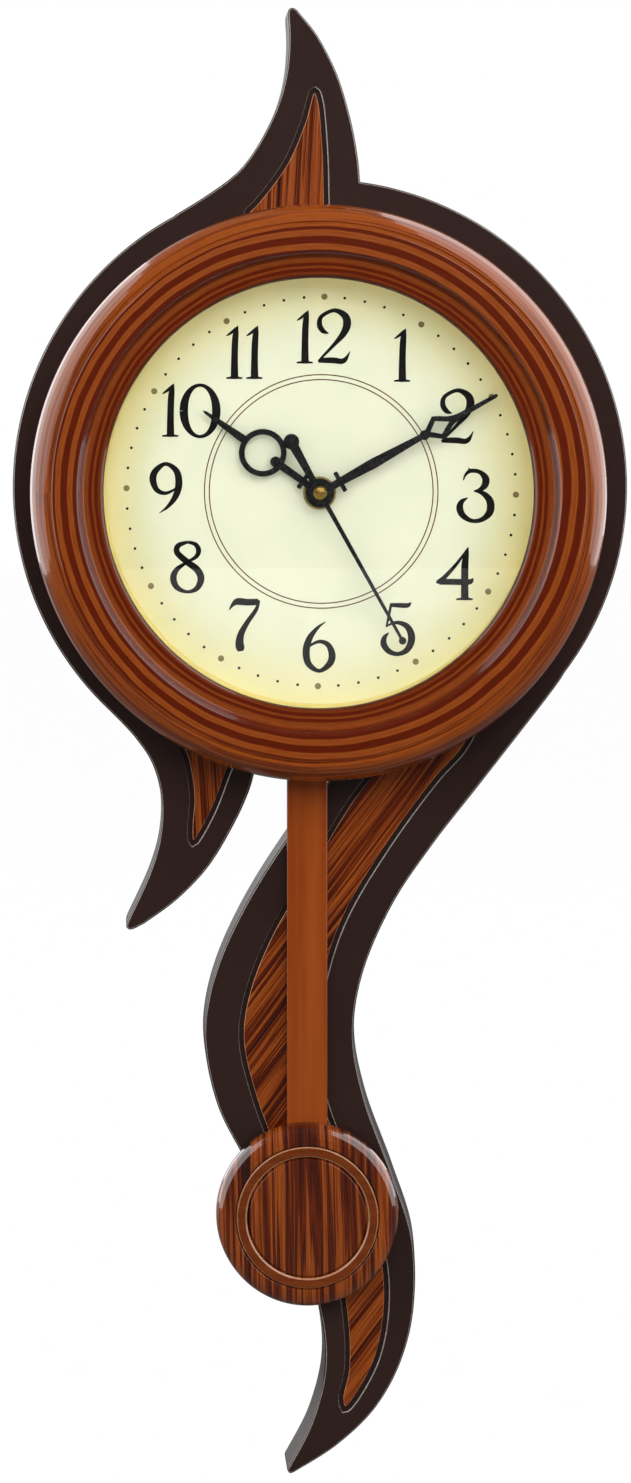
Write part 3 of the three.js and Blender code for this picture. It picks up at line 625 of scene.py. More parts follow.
# Dark matte brown for the bezel's wall above the lens: its darkness is painted shade.
LIP_PAINTED_SHADE = tinted("lip_painted_shade", (66, 26, 10), (80, 34, 14), 600, (0.5, 0.6), Specular_IOR_Level=0.2)
BAR_WOOD = plain_wood("bar_wood")
BEAD_WOOD = plain_wood("bead_wood", 90, (104, 44, 12), (116, 52, 16), (126, 60, 20))
GLASS = clear_glass()
PAPER = dial_paper()
CREAM_RING = tinted("ring_cream", (214, 190, 104), (226, 204, 120), 300, (0.3, 0.4))
INK = tinted("ink_black", (3, 3, 2), (7, 7, 5), 900, (0.45, 0.6), Specular_IOR_Level=0.1)
INK_KHAKI = tinted("ink_khaki", (118, 104, 66), (136, 122, 82), 700, (0.45, 0.6), Specular_IOR_Level=0.1)
INK_BROWN = tinted("ink_brown", (78, 38, 14), (94, 50, 24), 700, (0.45, 0.6), Specular_IOR_Level=0.1)
HAND_BLACK = tinted("hand_black", (5, 5, 5), (9, 9, 9), 500, (0.22, 0.32), Specular_IOR_Level=0.25)
BRASS = brushed("brass", (112, 88, 36), (150, 122, 60), 30)
BRASS_DULL = brushed("brass_dull", (150, 132, 70), (180, 160, 96), 0, (0.32, 0.46))
STEEL = brushed("zinc_steel", (176, 178, 180), (206, 208, 210))
BLACK_PLASTIC = tinted("case_plastic", (24, 24, 26), (34, 34, 36), 1400, (0.42, 0.6), 0.00004)
PALE_PLASTIC = tinted("pale_plastic", (222, 218, 204), (234, 230, 216), 500, (0.4, 0.5))
GEAR_PLASTIC = tinted("gear_plastic", (214, 204, 176), (226, 218, 192), 700, (0.35, 0.45))
COPPER = brushed("copper_winding", (150, 78, 40), (190, 104, 58), 90, (0.25, 0.4))
BOARD_GREEN = tinted("circuit_green", (30, 84, 48), (44, 108, 62), 600, (0.35, 0.5))
FERRITE = tinted("magnet_grey", (70, 72, 76), (96, 98, 102), 800, (0.35, 0.5))
LEAD = brushed("weight_zinc", (120, 122, 126), (150, 152, 156))
BOB_BACKING = tinted("bob_backing", (46, 32, 26), (60, 44, 36), 900, (0.5, 0.65))

# ---------- backboard ----------
WALL, SIDE, DEPTH = 3.0, 2.4, 18.0          # thickness of face and side walls, depth of the side walls
FLARE, EDGE, EDGE_STEPS = 0.8, 1.1, 6       # outward lean of the side walls, radius of the face's edge
OPENING, RECESS, GROOVE = 84.0, 1.6, 1.9    # hole behind the dial; recesses for the inlays, and the gap there
LIP_WIDTH, LIP_HIGHLIGHT_LEAN, LIP_DEPTH = 0.32, 0.16, 0.3    # chamfer round a recess, painted pale as a highlight, wider on its right side
BOARD_HIGHLIGHT_STEP, INLAY_HIGHLIGHT_STEP = 4, 2           # the step of each rounded edge that is painted pale as a highlight
HIGHLIGHT_LEAN = 0.05                            # makes that painted highlight wider on the left, where the light falls
INLAY_SUNK, INLAY_EDGE = 0.35, 0.5          # inlay faces below the board's, radius of the inlays' edges
FLAME_RIGHT = [(17.5, 131.7), (16.4, 143), (13.4, 158.5), (7.9, 176.8), (-0.2, 193), (-8, 203)]
FLAME_TIP = [(-8, 203), (-9.6, 204.8), (-11.5, 205.4), (-13.1, 204.3), (-13.3, 202)]
FLAME_LEFT = [(-13.3, 202), (-12.9, 191), (-14.2, 176.8), (-18.3, 162.5), (-26.2, 146.8), (-34.8, 135.6),
              (-46.5, 126.7), (-61.1, 117.6)]
LOWER_LEFT = [(-91.6, -89.3), (-84, -96.8), (-77.1, -104.5), (-70.6, -114.6), (-67, -128), (-67.4, -144.5),
              (-71.8, -160.5), (-79.9, -178.3)]
LOWER_TIP = [(-79.9, -178.3), (-81.6, -182.3), (-81.1, -184.3), (-79, -184.7), (-74, -182.3)]
LOWER_RIGHT = [(-74, -182.3), (-60, -172), (-46.7, -158), (-36.4, -141), (-30.4, -128), (-27.6, -118),
               (-26.8, -113.4)]
GAP_TOP = [(-26.8, -113.4), (-25.6, -110.6), (-22.5, -109.6), (-8, -109.6), (6.5, -109.6), (9.3, -110.6),
           (9.4, -113.4)]
TAIL_LEFT = [(9.4, -113.4), (4.2, -121.6), (-13.6, -145.9), (-29.6, -171.1), (-41.5, -195.6),
             (-47.6, -217), (-48.2, -236), (-42.8, -259.5), (-32.5, -280), (-17.5, -306), (-4.6, -331.5),
             (1.3, -351.5), (2.1, -372), (-3.4, -393.2), (-12.4, -410.8)]
TAIL_TIP = [(-12.4, -410.8), (-13.5, -413.2), (-12, -414.9), (-8.8, -413.4)]
TAIL_RIGHT = [(-8.8, -413.4), (7.6, -402.9), (23.5, -387.6), (34.5, -367.9), (40.1, -344.5),
              (39.6, -315.5), (31, -288), (19.5, -256.5), (14.7, -229.5), (18.6, -203), (31, -174.3),
              (48, -148.9), (68.1, -123.2), (97.2, -85.8), (104.3, -75.6)]
TOP_INLAY = [(-1.9, 169.4), (-5.9, 156.5), (-13.6, 138.8), (-25.4, 122.8), (-30, 117.5), (-28, 115.4),
             (-14, 116.6), (0, 115.6), (1.6, 117.5), (2, 130), (1.2, 150), (-0.5, 166)]
LOWER_INLAY = [(-53.2, -147), (-53.6, -141), (-52.8, -128), (-55.2, -112.5), (-57.6, -105.6),
               (-55.8, -104.2), (-46, -105.4), (-38, -108), (-36.8, -109.8), (-40.6, -120.9),
               (-45.4, -133.4), (-51.4, -144.8)]
TAIL_INLAY = [(11, -386.6), (10.2, -383), (12.6, -371.5), (12.4, -352), (8.6, -331), (-2.5, -309.5),
              (-16, -282.5), (-26.9, -254), (-31.9, -231), (-29.4, -212), (-20, -187.8), (-3.3, -159.5),
              (15, -129.4), (32, -109.4), (34.2, -108.6), (46, -103.6), (58.5, -96), (64.2, -99),
              (60.5, -107.5), (49, -120.5), (28.9, -147.8), (10.3, -178.9), (1.9, -203), (-1.6, -226),
              (-1.2, -243), (1.8, -258.5), (13.2, -288), (25.6, -320), (27.4, -345), (22.6, -368.2)]
FRONT_ARC = (0.4, 2.7, 130.1)            # x, z and radius of the board's round part


def bolt_circle(radius, *degrees):
    """Places on a circle round the middle of the bezel."""
    angles = [math.radians(a) for a in degrees]
    return [(RING[0] + radius * math.cos(a), RING[1] + radius * math.sin(a)) for a in angles]


BEZEL_SCREWS = bolt_circle(105.5, 40, 140, 222, 318)
HANGER_SCREWS = [(-13, 105), (13, 105)]


def board_outline():
    return joined(
        smooth(FLAME_RIGHT, 2), smooth(FLAME_TIP, 0.5), smooth(FLAME_LEFT, 2),
        arc(*FRONT_ARC, 118.2, 225, 120),
        smooth(LOWER_LEFT, 2), smooth(LOWER_TIP, 0.5), smooth(LOWER_RIGHT, 2), smooth(GAP_TOP, 1),
        smooth(TAIL_LEFT, 2), smooth(TAIL_TIP, 0.5), smooth(TAIL_RIGHT, 2), arc(*FRONT_ARC, -37, 82.4, 130))


BOARD = board_outline()
INLAYS = {"inlay_top": smooth_closed(TOP_INLAY, 1), "inlay_lower_left": smooth_closed(LOWER_INLAY, 1),
          "inlay_tail": smooth_closed(TAIL_INLAY, 1.5)}
INSIDE = set_in(BOARD, SIDE)


def edge_rings(bm, points, top, radius, n, highlight_step):
    """Rings up a rounded edge, from side to face. The one after the step with the painted highlight leans to
    the right.
    """
    rings = []
    for k, (s, d) in enumerate(edge_steps(radius, n)):
        lean = HIGHLIGHT_LEAN if k == highlight_step + 1 else 0
        rings.append(ring_of(bm, [(x + lean, z) for x, z in moved(points, -s)], top - d))
    return rings


def board():
    bm = bmesh.new()
    rings = [ring_of(bm, moved(BOARD, FLARE), -DEPTH), ring_of(bm, moved(BOARD, FLARE * 0.5), -DEPTH / 2)]
    first_step = len(rings)
    rings += edge_rings(bm, BOARD, 0, EDGE, EDGE_STEPS, BOARD_HIGHLIGHT_STEP)
    loft(bm, rings, first_step + BOARD_HIGHLIGHT_STEP)
    inner = [ring_of(bm, INSIDE, -WALL), ring_of(bm, INSIDE, -DEPTH)]
    bridge(bm, *inner)
    fill(bm, rings[0], inner[1])
    front, back = [rings[-1]], [inner[0]]
    holes = [circle(0, 0, OPENING, 144)] + [circle(x, z, 1.7, 20) for x, z in BEZEL_SCREWS]
    for points in holes:
        a, b = ring_of(bm, points, 0), ring_of(bm, points, -WALL)
        bridge(bm, a, b)
        front.append(a)
        back.append(b)
    for points in INLAYS.values():
        lip = [(x + LIP_HIGHLIGHT_LEAN, z) for x, z in moved(points, GROOVE + LIP_WIDTH)]
        wall = [ring_of(bm, lip, 0), ring_of(bm, moved(points, GROOVE), -LIP_DEPTH),
                ring_of(bm, moved(points, GROOVE), -RECESS)]
        loft(bm, wall, 0)
        fill(bm, wall[-1])
        front.append(wall[0])
    fill(bm, *front)
    fill(bm, *back)
    # The pale second material paints a highlight along the face's edge and the recesses' lips.
    piece_of(make("board", bm, LACQUER, second=EDGE_HIGHLIGHT), "case", "board", "backboard")


def crossings(x, z, dx, dz, points):
    """How far from x, z along dx, dz the outline is met, nearest first."""
    found = []
    for a, b in zip(points, points[1:] + points[:1]):
        ex, ez = b[0] - a[0], b[1] - a[1]
        det = dx * ez - dz * ex
        if abs(det) < 1e-9:
            continue
        t = ((a[0] - x) * ez - (a[1] - z) * ex) / det
        s = ((a[0] - x) * dz - (a[1] - z) * dx) / det
        if t > 0 and 0 <= s < 1:
            found.append(t)
    return sorted(found)


RIB, RIB_BITE = 0.7, 0.3        # half the thickness of a rib, and how far it runs into the side walls
BEYOND = 120                    # a distance left of the shaft that is outside the tail


def board_ribs():
    """Stiffening ribs in the hollow back: a ring, spokes, cross ribs in the tail, and two bosses."""
    bm = bmesh.new()
    root = -WALL + 0.2          # ribs run a little way into the wall
    lathe(bm, tube(OPENING + 0.6, OPENING + 2, -13, root), n=120)
    for degrees in (20, 65, 115, 160, 200, 240, 300, 340):
        c, s = math.cos(math.radians(degrees)), math.sin(math.radians(degrees))
        near, far = OPENING + 1.5, crossings(0, 0, c, s, INSIDE)[0] + RIB_BITE
        corners = (near, RIB), (far, RIB), (far, -RIB), (near, -RIB)
        quad = [(c * r + s * t, s * r - c * t) for r, t in corners]
        slab(bm, quad, [], -11, root)
    for z in (-150, -185, -220, -255, -290, -325, -358):
        hits = crossings(-BEYOND, z, 1, 0, INSIDE)
        for left, right in zip(hits[0::2], hits[1::2]):
            x0, x1 = left - BEYOND - RIB_BITE, right - BEYOND + RIB_BITE
            slab(bm, rectangle(x0, x1, z - RIB, z + RIB), [], -13, root)
    for x, z in HANGER_SCREWS:
        lathe(bm, tube(1.4, 4.2, -14.8, root), x, z, 32)
    piece = make("board_ribs", bm, LACQUER)
    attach(piece, "case")


def inlays():
    grain = {  # turn, spacing, shift and bias of the stripes
        "inlay_top": (-3, 0.75, 0.013, 0.03), "inlay_lower_left": (4, 1.0, 0.2, 0.01),
        "inlay_tail": (-37, 0.95, 0.41, 0)}
    for name, points in INLAYS.items():
        turn, *stripes = grain[name]
        wood = striped_wood(name + "_wood", turn, place(0, 0), *stripes)
        bm = bmesh.new()
        rings = [ring_of(bm, points, -RECESS)]
        rings += edge_rings(bm, points, -INLAY_SUNK, INLAY_EDGE, 4, INLAY_HIGHLIGHT_STEP)
        loft(bm, rings, 1 + INLAY_HIGHLIGHT_STEP)
        fill(bm, rings[0])
        fill(bm, rings[-1])
        # The pale second material paints a highlight along each inlay's edge.
        piece_of(make(name + "_panel", bm, wood, second=WOOD_EDGE_HIGHLIGHT), "case", "inlay", name)


board()
board_ribs()
inlays()

# ---------- bezel and dial ----------
MOULDING = [(120.8, 0), (120.6, 8), (120.4, 15, 5), (119.9, 19.2, 5), (118.8, 22.5, 5), (117.2, 25.3, 5),
            (115.4, 27.3, 5), (113.6, 28.5, 2), (112.2, 28.9, 0.4), (111.7, 28.3, 0.1),
            (111.3, 28.35, 0.1), (110.85, 28.9, 0.1), (110.4, 28.95, 0.1), (109.9, 29.5, 0.15),
            (108.9, 29.55, 1), (105, 29.6), (100, 29.5, 0.4), (99.4, 29.0, 0.2), (98.7, 28.1, 0.3),
            (98.1, 27.1, 0.5), (97.5, 26, 0.4), (97.2, 25.6, 0.3), (93, 25.3), (90.3, 25.1, 0.3),
            (89.5, 24.5, 0.12), (89.3, 23.6, 0.1), (89.3, 20)]
UNDERSIDE = [(92.6, 20), (92.6, 6.1), (95, 6.1), (95, 20.4), (98.6, 22.4), (101.5, 25.4), (104.5, 26.4),
             (108, 25.2), (110.4, 24.2), (113, 26.2), (115.4, 26), (117.2, 22), (118, 12), (118.2, 0)]
DIAL_SCREWS = bolt_circle(99.5, 90, 205, 335)
RIM = 119.5                 # radius at which the pendulum's notch is measured
NOTCH, NOTCH_TOP = 36.0, 6.5    # half the width of the notch in the bezel's rim, and its height
LIP_WALL = 89.45            # inside this radius the bezel is the wall above the lens, dark with painted shade
LENS_R = 92.1
LENS_BACK, LENS_FRONT = 18, 19.9
DIAL_BACK, PRINT_H = 6.2, 6.8   # heights of the dial's two faces
RING_TILT = (1.0, 1.4)      # how far the foot of the cream ring sits from the middle, to the right and up


def bezel():
    half = math.degrees(math.asin(NOTCH / RIM))
    middle = 270 + math.degrees(math.atan((PENDULUM_X - RING[0]) / RIM))
    ends = [middle - half, middle + half]
    angles = [a for a in full_turn(240) if all(abs(a - e) > 0.5 for e in ends)]
    angles = sorted(angles + [e + d for e in ends for d in (-0.01, 0.01)])

    def notched(a, r, h):
        return round_axis(*RING, a, r, max(h, NOTCH_TOP) if abs(a - middle) < half and r > 97 else h)

    bm = bmesh.new()
    spin(bm, filleted(MOULDING, 5) + UNDERSIDE, angles, notched)
    for x, z in BEZEL_SCREWS:
        lathe(bm, tube(1.4, 3.6, 0, 26), x, z, 32)
    for x, z in DIAL_SCREWS:
        lathe(bm, tube(1.2, 2.9, 6.1, 23.2), x, z, 32)
    # The wall above the lens gets a dark matte brown, which is painted shade.
    second_material(bm, *RING, lambda r, h: r < LIP_WALL)
    piece_of(make("bezel_ring", bm, BEZEL_WOOD, 50, LIP_PAINTED_SHADE), "case", "bezel", "bezel")


def dial_stack():
    lens = filleted([(0, LENS_BACK), (LENS_R - 0.6, LENS_BACK), (LENS_R, LENS_BACK, 0.2),
                     (LENS_R, LENS_FRONT, 0.2), (LENS_R - 0.6, LENS_FRONT), (0, LENS_FRONT)])
    piece_of(turned("lens_disc", lens, GLASS, *RING), "case", "lens", "lens")
    foot = (RING[0] + RING_TILT[0], RING[1] + RING_TILT[1])
    bm = bmesh.new()
    rings = [ring_of(bm, circle(*middle, r, 192), h) for middle, r, h in (
        (RING, LENS_R, 6.9), (RING, LENS_R, 17.9), (RING, 90.6, 17.9), (RING, 90.4, 17.7), (foot, 90.1, 7.2),
        (foot, 90, 6.9))]
    loft(bm, rings + rings[:1])
    piece_of(make("dial_ring_cone", bm, CREAM_RING), "case", "dial_ring", "dial_ring")
    piece_of(turned("dial_face", tube(5, LENS_R, DIAL_BACK, PRINT_H), PAPER, *RING), "case", "dial", "dial")


# Each figure is a set of pen strokes: x, height and pen width in mm, from the middle of its foot.
FIGURES = {
    "1": [[(1.5, 22.2, 0.3), (0.7, 19.5, 2.0), (0.3, 15, 2.4), (0.1, 8, 2.5), (0.1, 0.6, 2.8)],
          [(-3.3, 18.1, 0.4), (-1.6, 19.2, 1.0), (0.2, 20.8, 1.0), (1.6, 22.3, 0.3)],
          [(-3.4, 0.35, 0.6), (-1.6, 0.5, 0.9), (0, 0.7, 1.4), (1.7, 0.5, 0.9), (3.4, 0.35, 0.6)]],
    "2": [[(-2.2, 12.7, 0.4), (-4.4, 13.6, 1.8), (-6.0, 16.2, 2.0), (-5.1, 19.8, 1.5), (0.1, 22.3, 1.5),
           (4.5, 20.2, 2.6), (5.6, 16.6, 3.0), (4.0, 12.5, 2.4), (0.1, 7.9, 1.4), (-4.2, 3.4, 1.0),
           (-6.4, 0.9, 0.9)],
          [(-6.6, 0.9, 1.0), (-4.5, 1.3, 1.9), (0, 1.3, 2.2), (3.2, 0.9, 2.0), (4.8, 1.7, 1.7),
           (5.9, 3.3, 0.9), (6.8, 5.1, 0.3)]],
    "3": [[(-5.1, 17.9, 0.4), (-4.1, 20.3, 1.1), (-1.9, 21.9, 1.7), (1.8, 21.4, 1.8), (4.3, 18.7, 2.9),
           (3.9, 15.8, 2.7), (1.8, 14.0, 1.6), (-0.7, 13.4, 0.6)],
          [(-2.9, 23.2, 0.3), (-2.5, 22.4, 1.0), (-1.8, 21.4, 1.2)],
          [(-0.7, 13.5, 0.6), (3.1, 12.5, 2.0), (6.1, 9.2, 3.0), (6.0, 4.6, 3.0), (2.8, 1.5, 2.0),
           (-1.4, 0.9, 1.7), (-5.2, 3.1, 2.5), (-6.6, 6.3, 2.8), (-5.7, 9.0, 2.0), (-3.2, 10.6, 0.4)]],
    "4": [[(5.5, 22.3, 0.3), (4.7, 19.3, 1.9), (4.1, 15, 2.6), (4, 8, 2.7), (4, 0.6, 2.8)],
          [(5.4, 22.0, 0.5), (0.9, 15.6, 1.2), (-4, 10.1, 1.6), (-6.8, 7.6, 2.0)],
          [(-7.3, 6.9, 0.8), (-6.8, 7.6, 2.1), (-3, 7.7, 2.2), (2.8, 7.6, 2.2), (6.3, 7.8, 2.0),
           (7.5, 9.2, 0.5)],
          [(0.4, 0.35, 0.6), (2.4, 0.5, 0.9), (4, 0.7, 1.4), (5.7, 0.5, 0.9), (7.4, 0.35, 0.6)]],
    "5": [[(-3.2, 21.5, 1.6), (0.8, 21.3, 2.0), (4.1, 21.3, 1.9), (5.6, 22.6, 0.4)],
          [(-2.8, 21.9, 1.1), (-3.9, 16.4, 1.1), (-4.8, 12.2, 0.8)],
          [(-4.9, 12.3, 0.5), (-2.2, 13.8, 1.2), (1.0, 13.9, 1.8), (4.3, 12.0, 2.6), (5.8, 7.5, 3.1),
           (4.1, 2.9, 2.6), (0.3, 0.9, 1.8), (-3.6, 1.9, 2.3), (-5.9, 4.9, 2.7), (-5.6, 7.8, 2.0),
           (-3.8, 9.8, 0.4)]],
    "6": [[(2.8, 21.6, 0.3), (-0.6, 19.1, 1.4), (-3.9, 14.8, 2.6), (-5.4, 9.5, 3.1), (-4.4, 4.0, 2.7),
           (0, 1, 1.7), (4.2, 3.7, 2.7), (5.5, 7.5, 3.0), (3.9, 11.8, 2.3), (0.5, 13.3, 1.6),
           (-2.9, 12.1, 1.1), (-5.0, 10.2, 0.6)]],
    "7": [[(-6.4, 17.9, 0.4), (-5.0, 20.0, 1.3), (-2.9, 21.4, 2.5), (1.4, 21.1, 2.5), (5.8, 21.3, 2.3)],
          [(6.2, 21.9, 0.8), (4.8, 17.9, 1.5), (1.4, 13, 1.8), (-1.3, 8.2, 2.4), (-2.1, 4.3, 3.0),
           (-1.8, 1.9, 3.2), (-1.6, 0.5, 1.8)]],
    "8": [[(0.2, 21.7, 1.3), (-3.7, 20.2, 2.3), (-4.2, 17.3, 2.6), (-0.2, 13.5, 2.8), (4.2, 10.1, 3.0),
           (5.8, 6.2, 3.0), (4.0, 2.2, 2.3), (0, 0.8, 1.4), (-4.2, 2.6, 2.4), (-5.8, 6.5, 2.9),
           (-4.3, 10.2, 2.2), (0, 13.2, 1.3), (3.8, 15.6, 1.8), (4.8, 18.2, 2.3), (3.5, 20.7, 1.9),
           (0.2, 21.7, 1.3)]],
}
FIGURES["9"] = [[(-x, 22.4 - y, w) for x, y, w in stroke] for stroke in FIGURES["6"]]
FIGURES["0"] = [[(-6.85 * math.cos(a), 11.4 - 10.8 * math.sin(a), 1.25 + 1.9 * math.cos(a) ** 2)
                 for a in map(math.radians, range(0, 361, 15))]]
NUMERALS = [  # figure, x and height of the middle of its foot
    ("1", -6.2, 54.4), ("2", 6.0, 54.4), ("1", 34.7, 46.7), ("2", 57.8, 20.8), ("3", 65.5, -12.6),
    ("4", 57.0, -45.0), ("5", 32.9, -68.5), ("6", -0.2, -75.7), ("7", -31.5, -67.0), ("8", -55.6, -42.3),
    ("9", -64.5, -9.2), ("1", -62.7, 23.6), ("0", -50.2, 23.1), ("1", -35.8, 47.9), ("1", -27.4, 47.9)]
PEN = {"3": 1.04, "5": 0.99, "6": 0.98, "8": 0.97, "9": 0.98}  # weight of the finer figures
USUAL_PEN = 1.14
INK_THICK = 0.04
PRINT_CENTRE = (0.7, 0.65)
CIRCLES, LINE = (49.05, 47.0), 0.24     # radii of the two circles, and half the width of their lines
DOT_RING, DOT_TURN = 81.8, 0.95         # radius of the ring of dots, and how many degrees it is turned
HOUR_DOT, MINUTE_DOT = 1.3, 0.6


def stroke_outline(points, pen, step=0.35):
    """The outline of a pen stroke of changing width along a smooth line."""
    path = smooth([(x, y, w * pen) for x, y, w in points], step)
    left, right = [], []
    for i, (x, y, w) in enumerate(path):
        a, b = path[max(i - 1, 0)], path[min(i + 1, len(path) - 1)]
        t = Vector((b[0] - a[0], b[1] - a[1])).normalized()
        left.append((x - t.y * w / 2, y + t.x * w / 2))
        right.append((x + t.y * w / 2, y - t.x * w / 2))
    return left, right


def stroke_solid(bm, points, pen, x, z, top):
    """A thin printed stroke: quads between its two sides, closed all round."""
    left, right = stroke_outline(points, pen)
    rows = []
    for a, b in zip(left, right):
        rows.append([bm.verts.new(place(x + p[0], z + p[1], h)) for p in (a, b) for h in (PRINT_H, top)])
    for (a0, a1, b0, b1), (c0, c1, d0, d1) in zip(rows, rows[1:]):
        bm.faces.new((a1, b1, d1, c1))
        bm.faces.new((a0, c0, d0, b0))
        bm.faces.new((a0, a1, c1, c0))
        bm.faces.new((b0, d0, d1, b1))
    for a0, a1, b0, b1 in (rows[0], rows[-1]):
        bm.faces.new((a0, b0, b1, a1))


def dot_at(degrees):
    a = math.radians(degrees + DOT_TURN)
    return PRINT_CENTRE[0] + DOT_RING * math.sin(a), PRINT_CENTRE[1] + DOT_RING * math.cos(a)


def dots(bm, steps, radius, n):
    for i in steps:
        slab(bm, circle(*dot_at(6 * i), radius, n), [], PRINT_H, PRINT_H + INK_THICK)


def dial_print():
    bm = bmesh.new()
    for figure, x, z in NUMERALS:
        for k, stroke in enumerate(FIGURES[figure]):
            stroke_solid(bm, stroke, PEN.get(figure, USUAL_PEN), x, z, PRINT_H + INK_THICK + 0.004 * k)
    dots(bm, (i for i in range(60) if i % 5), MINUTE_DOT, 14)
    prints = [make("dial_numerals", bm, INK)]
    bm = bmesh.new()
    dots(bm, range(0, 60, 5), HOUR_DOT, 28)
    prints.append(make("dial_hour_dots", bm, INK_KHAKI))
    bm = bmesh.new()
    for r in CIRCLES:
        lathe(bm, tube(r - LINE, r + LINE, PRINT_H, PRINT_H + INK_THICK), *PRINT_CENTRE)
    prints.append(make("dial_circles", bm, INK_BROWN))
    for piece in prints:
        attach(piece, "case")


bezel()
dial_stack()
dial_print()

# ---------- hands ----------
HOUR_AT, MINUTE_AT, SECOND_AT = 305.2, 61.1, 150.8     # degrees clockwise from twelve


def swung(points, degrees):
    """Points drawn for a hand at twelve, turned clockwise."""
    c, s = math.cos(math.radians(degrees)), math.sin(math.radians(degrees))
    return [(x * c + z * s, z * c - x * s) for x, z in points]


def mirrored(half):
    return counter_clockwise(half + [(-x, z) for x, z in reversed(half) if x > 0])


def hand(name, degrees, h0, h1, bore, body, node, shapes):
    """A hand from flat shapes [outline, holes...], joined, bored and with softened edges."""
    parts = []
    for shape in shapes:
        outer, *holes = [swung(outline, degrees) for outline in shape]
        parts.append(plate(name, outer, holes, h0, h1, HAND_BLACK))
    whole = combined(parts[0], parts[1:], "UNION")
    hole = plate(name + "_bore", circle(0, 0, bore, 48), [], h0 - 1, h1 + 1, HAND_BLACK)
    combined(whole, [hole], "DIFFERENCE")
    whole.name = name
    piece_of(bevelled(whole, 0.12), body, "hands", node)


def hands():
    hand("hour_hand_painted", HOUR_AT, 9.7, 10.2, 2.75, "hours", "hour_hand", [
        [mirrored([(0, 60.1), (0.6, 58.5), (1.25, 50), (1.7, 40.5), (1.7, 37.5)])],
        [circle(0, 29.2, 10), circle(0, 29.2, 7.6)],
        [circle(0, 22.6, 2.3, 32)],
        [[(-1.4, 4), (1.4, 4), (1.7, 22), (-1.7, 22)]],
        [rounded_box(-3.6, 3.6, 7.6, 9.5, 0.5, 3)],
        [circle(0, 0, 6, 72)]])
    hand("minute_hand_painted", MINUTE_AT, 12, 12.5, 1.75, "minutes", "minute_hand", [
        [smooth([(0, 48.5), (2.4, 52.2), (5.4, 56.4)], 0.6) + smooth([(4.2, 59), (2.2, 62.5), (1.3, 66)], 0.6)
         + smooth([(-1.3, 66), (-2.2, 62.5), (-4.2, 59)], 0.6) + smooth([(-5.4, 56.4), (-2.4, 52.2)], 0.6),
         [(0, 52.9), (3, 56.6), (0, 61.7), (-3, 56.6)]],
        [mirrored([(0, 85.1), (0.8, 84.2), (1.3, 65.5)])],
        [mirrored([(1.5, 4), (2.2, 25.4), (1.3, 47.4), (1.2, 50.5)])],
        [circle(0, 50, 2.1, 32)],
        [rounded_box(-4.6, 4.6, 8.8, 10.7, 0.5, 3)],
        [circle(0, 0, 6.1, 72)]])
    hand("second_hand_painted", SECOND_AT, 14.5, 14.9, 2.15, "seconds", "second_hand", [
        [mirrored([(1.1, 0), (1.0, 4), (0.62, 71.4)])],
        [circle(0, 70.6, 1.6, 32)],
        [mirrored([(2, -22), (1.6, -12), (1.2, 0)])],
        [circle(0, -24.5, 3.3, 40)],
        [circle(0, 0, 4.3, 56)]])
    cap = filleted([(0.7, 13.9), (2, 13.9), (2, 15), (2.9, 15, 0.1), (2.9, 15.6, 0.25), (2.45, 16.0, 0.1),
                    (2.2, 15.85, 0.1), (1.2, 16.15), (0, 16.3), (0, 15.6), (0.7, 15.6)])
    piece_of(turned("second_cap_brass", cap, BRASS, n=64), "seconds", "brass", "second_cap")


hands()

# ---------- pendulum ----------
BAR_HALF, BAR_BACK, BAR_FRONT, BAR_CROWN = 8.55, 1.2, 4.2, 0.3
BAR_FOOT, BAR_TOP = BOB_Z + 10, BOB_Z + 213.5
TONGUE_H = (2.3, 3.9)       # the thin tongue at the bar's top lies between these heights
HOOK_Z = -87                # the tongue's hole, which hangs on the lever
BOB_R, BOB_BACK = 38.4, 4.4
BOB_SCREWS = (BOB_Z + 16.3, BOB_Z + 26.3)
BEAD_IN, BEAD_OUT, BEAD_FOOT, BEAD_TOP = 25.4, 29.6, 10.7, 12.1


def pendulum_bar():
    bm = bmesh.new()
    side = BAR_FRONT - BAR_CROWN
    section = filleted([(-BAR_HALF, BAR_BACK, 0.2), (BAR_HALF, BAR_BACK, 0.2), (BAR_HALF, side, 0.9),
                        (0, BAR_FRONT), (-BAR_HALF, side, 0.9)], 5)
    rings = [[bm.verts.new(place(PENDULUM_X + x, z, h)) for x, h in section] for z in (BAR_FOOT, BAR_TOP)]
    loft(bm, rings)
    fill(bm, rings[0])
    fill(bm, rings[1])
    bar = make("pendulum_bar_wood", bm, BAR_WOOD, 40)
    tongue = rounded_box(PENDULUM_X - 5, PENDULUM_X + 5, HOOK_Z - 5, HOOK_Z + 3.5, 1, 4)
    wide = BAR_HALF + 1
    behind = rounded_box(PENDULUM_X - wide, PENDULUM_X + wide, HOOK_Z - 5.5, HOOK_Z + 7, 0.1, 1)
    combined(bar, [plate("tongue", tongue, [], *TONGUE_H, BAR_WOOD)], "UNION")
    holes = [(HOOK_Z, 1.8, 32)] + [(z, 1.3, 24) for z in BOB_SCREWS]
    tools = [plate("behind", behind, [], 0, TONGUE_H[0], BAR_WOOD)]
    tools += [plate("hole", circle(PENDULUM_X, z, r, n), [], 0, 5, BAR_WOOD) for z, r, n in holes]
    combined(bar, tools, "DIFFERENCE", 40)
    piece_of(bar, "pendulum", "pendulum", "pendulum_bar")


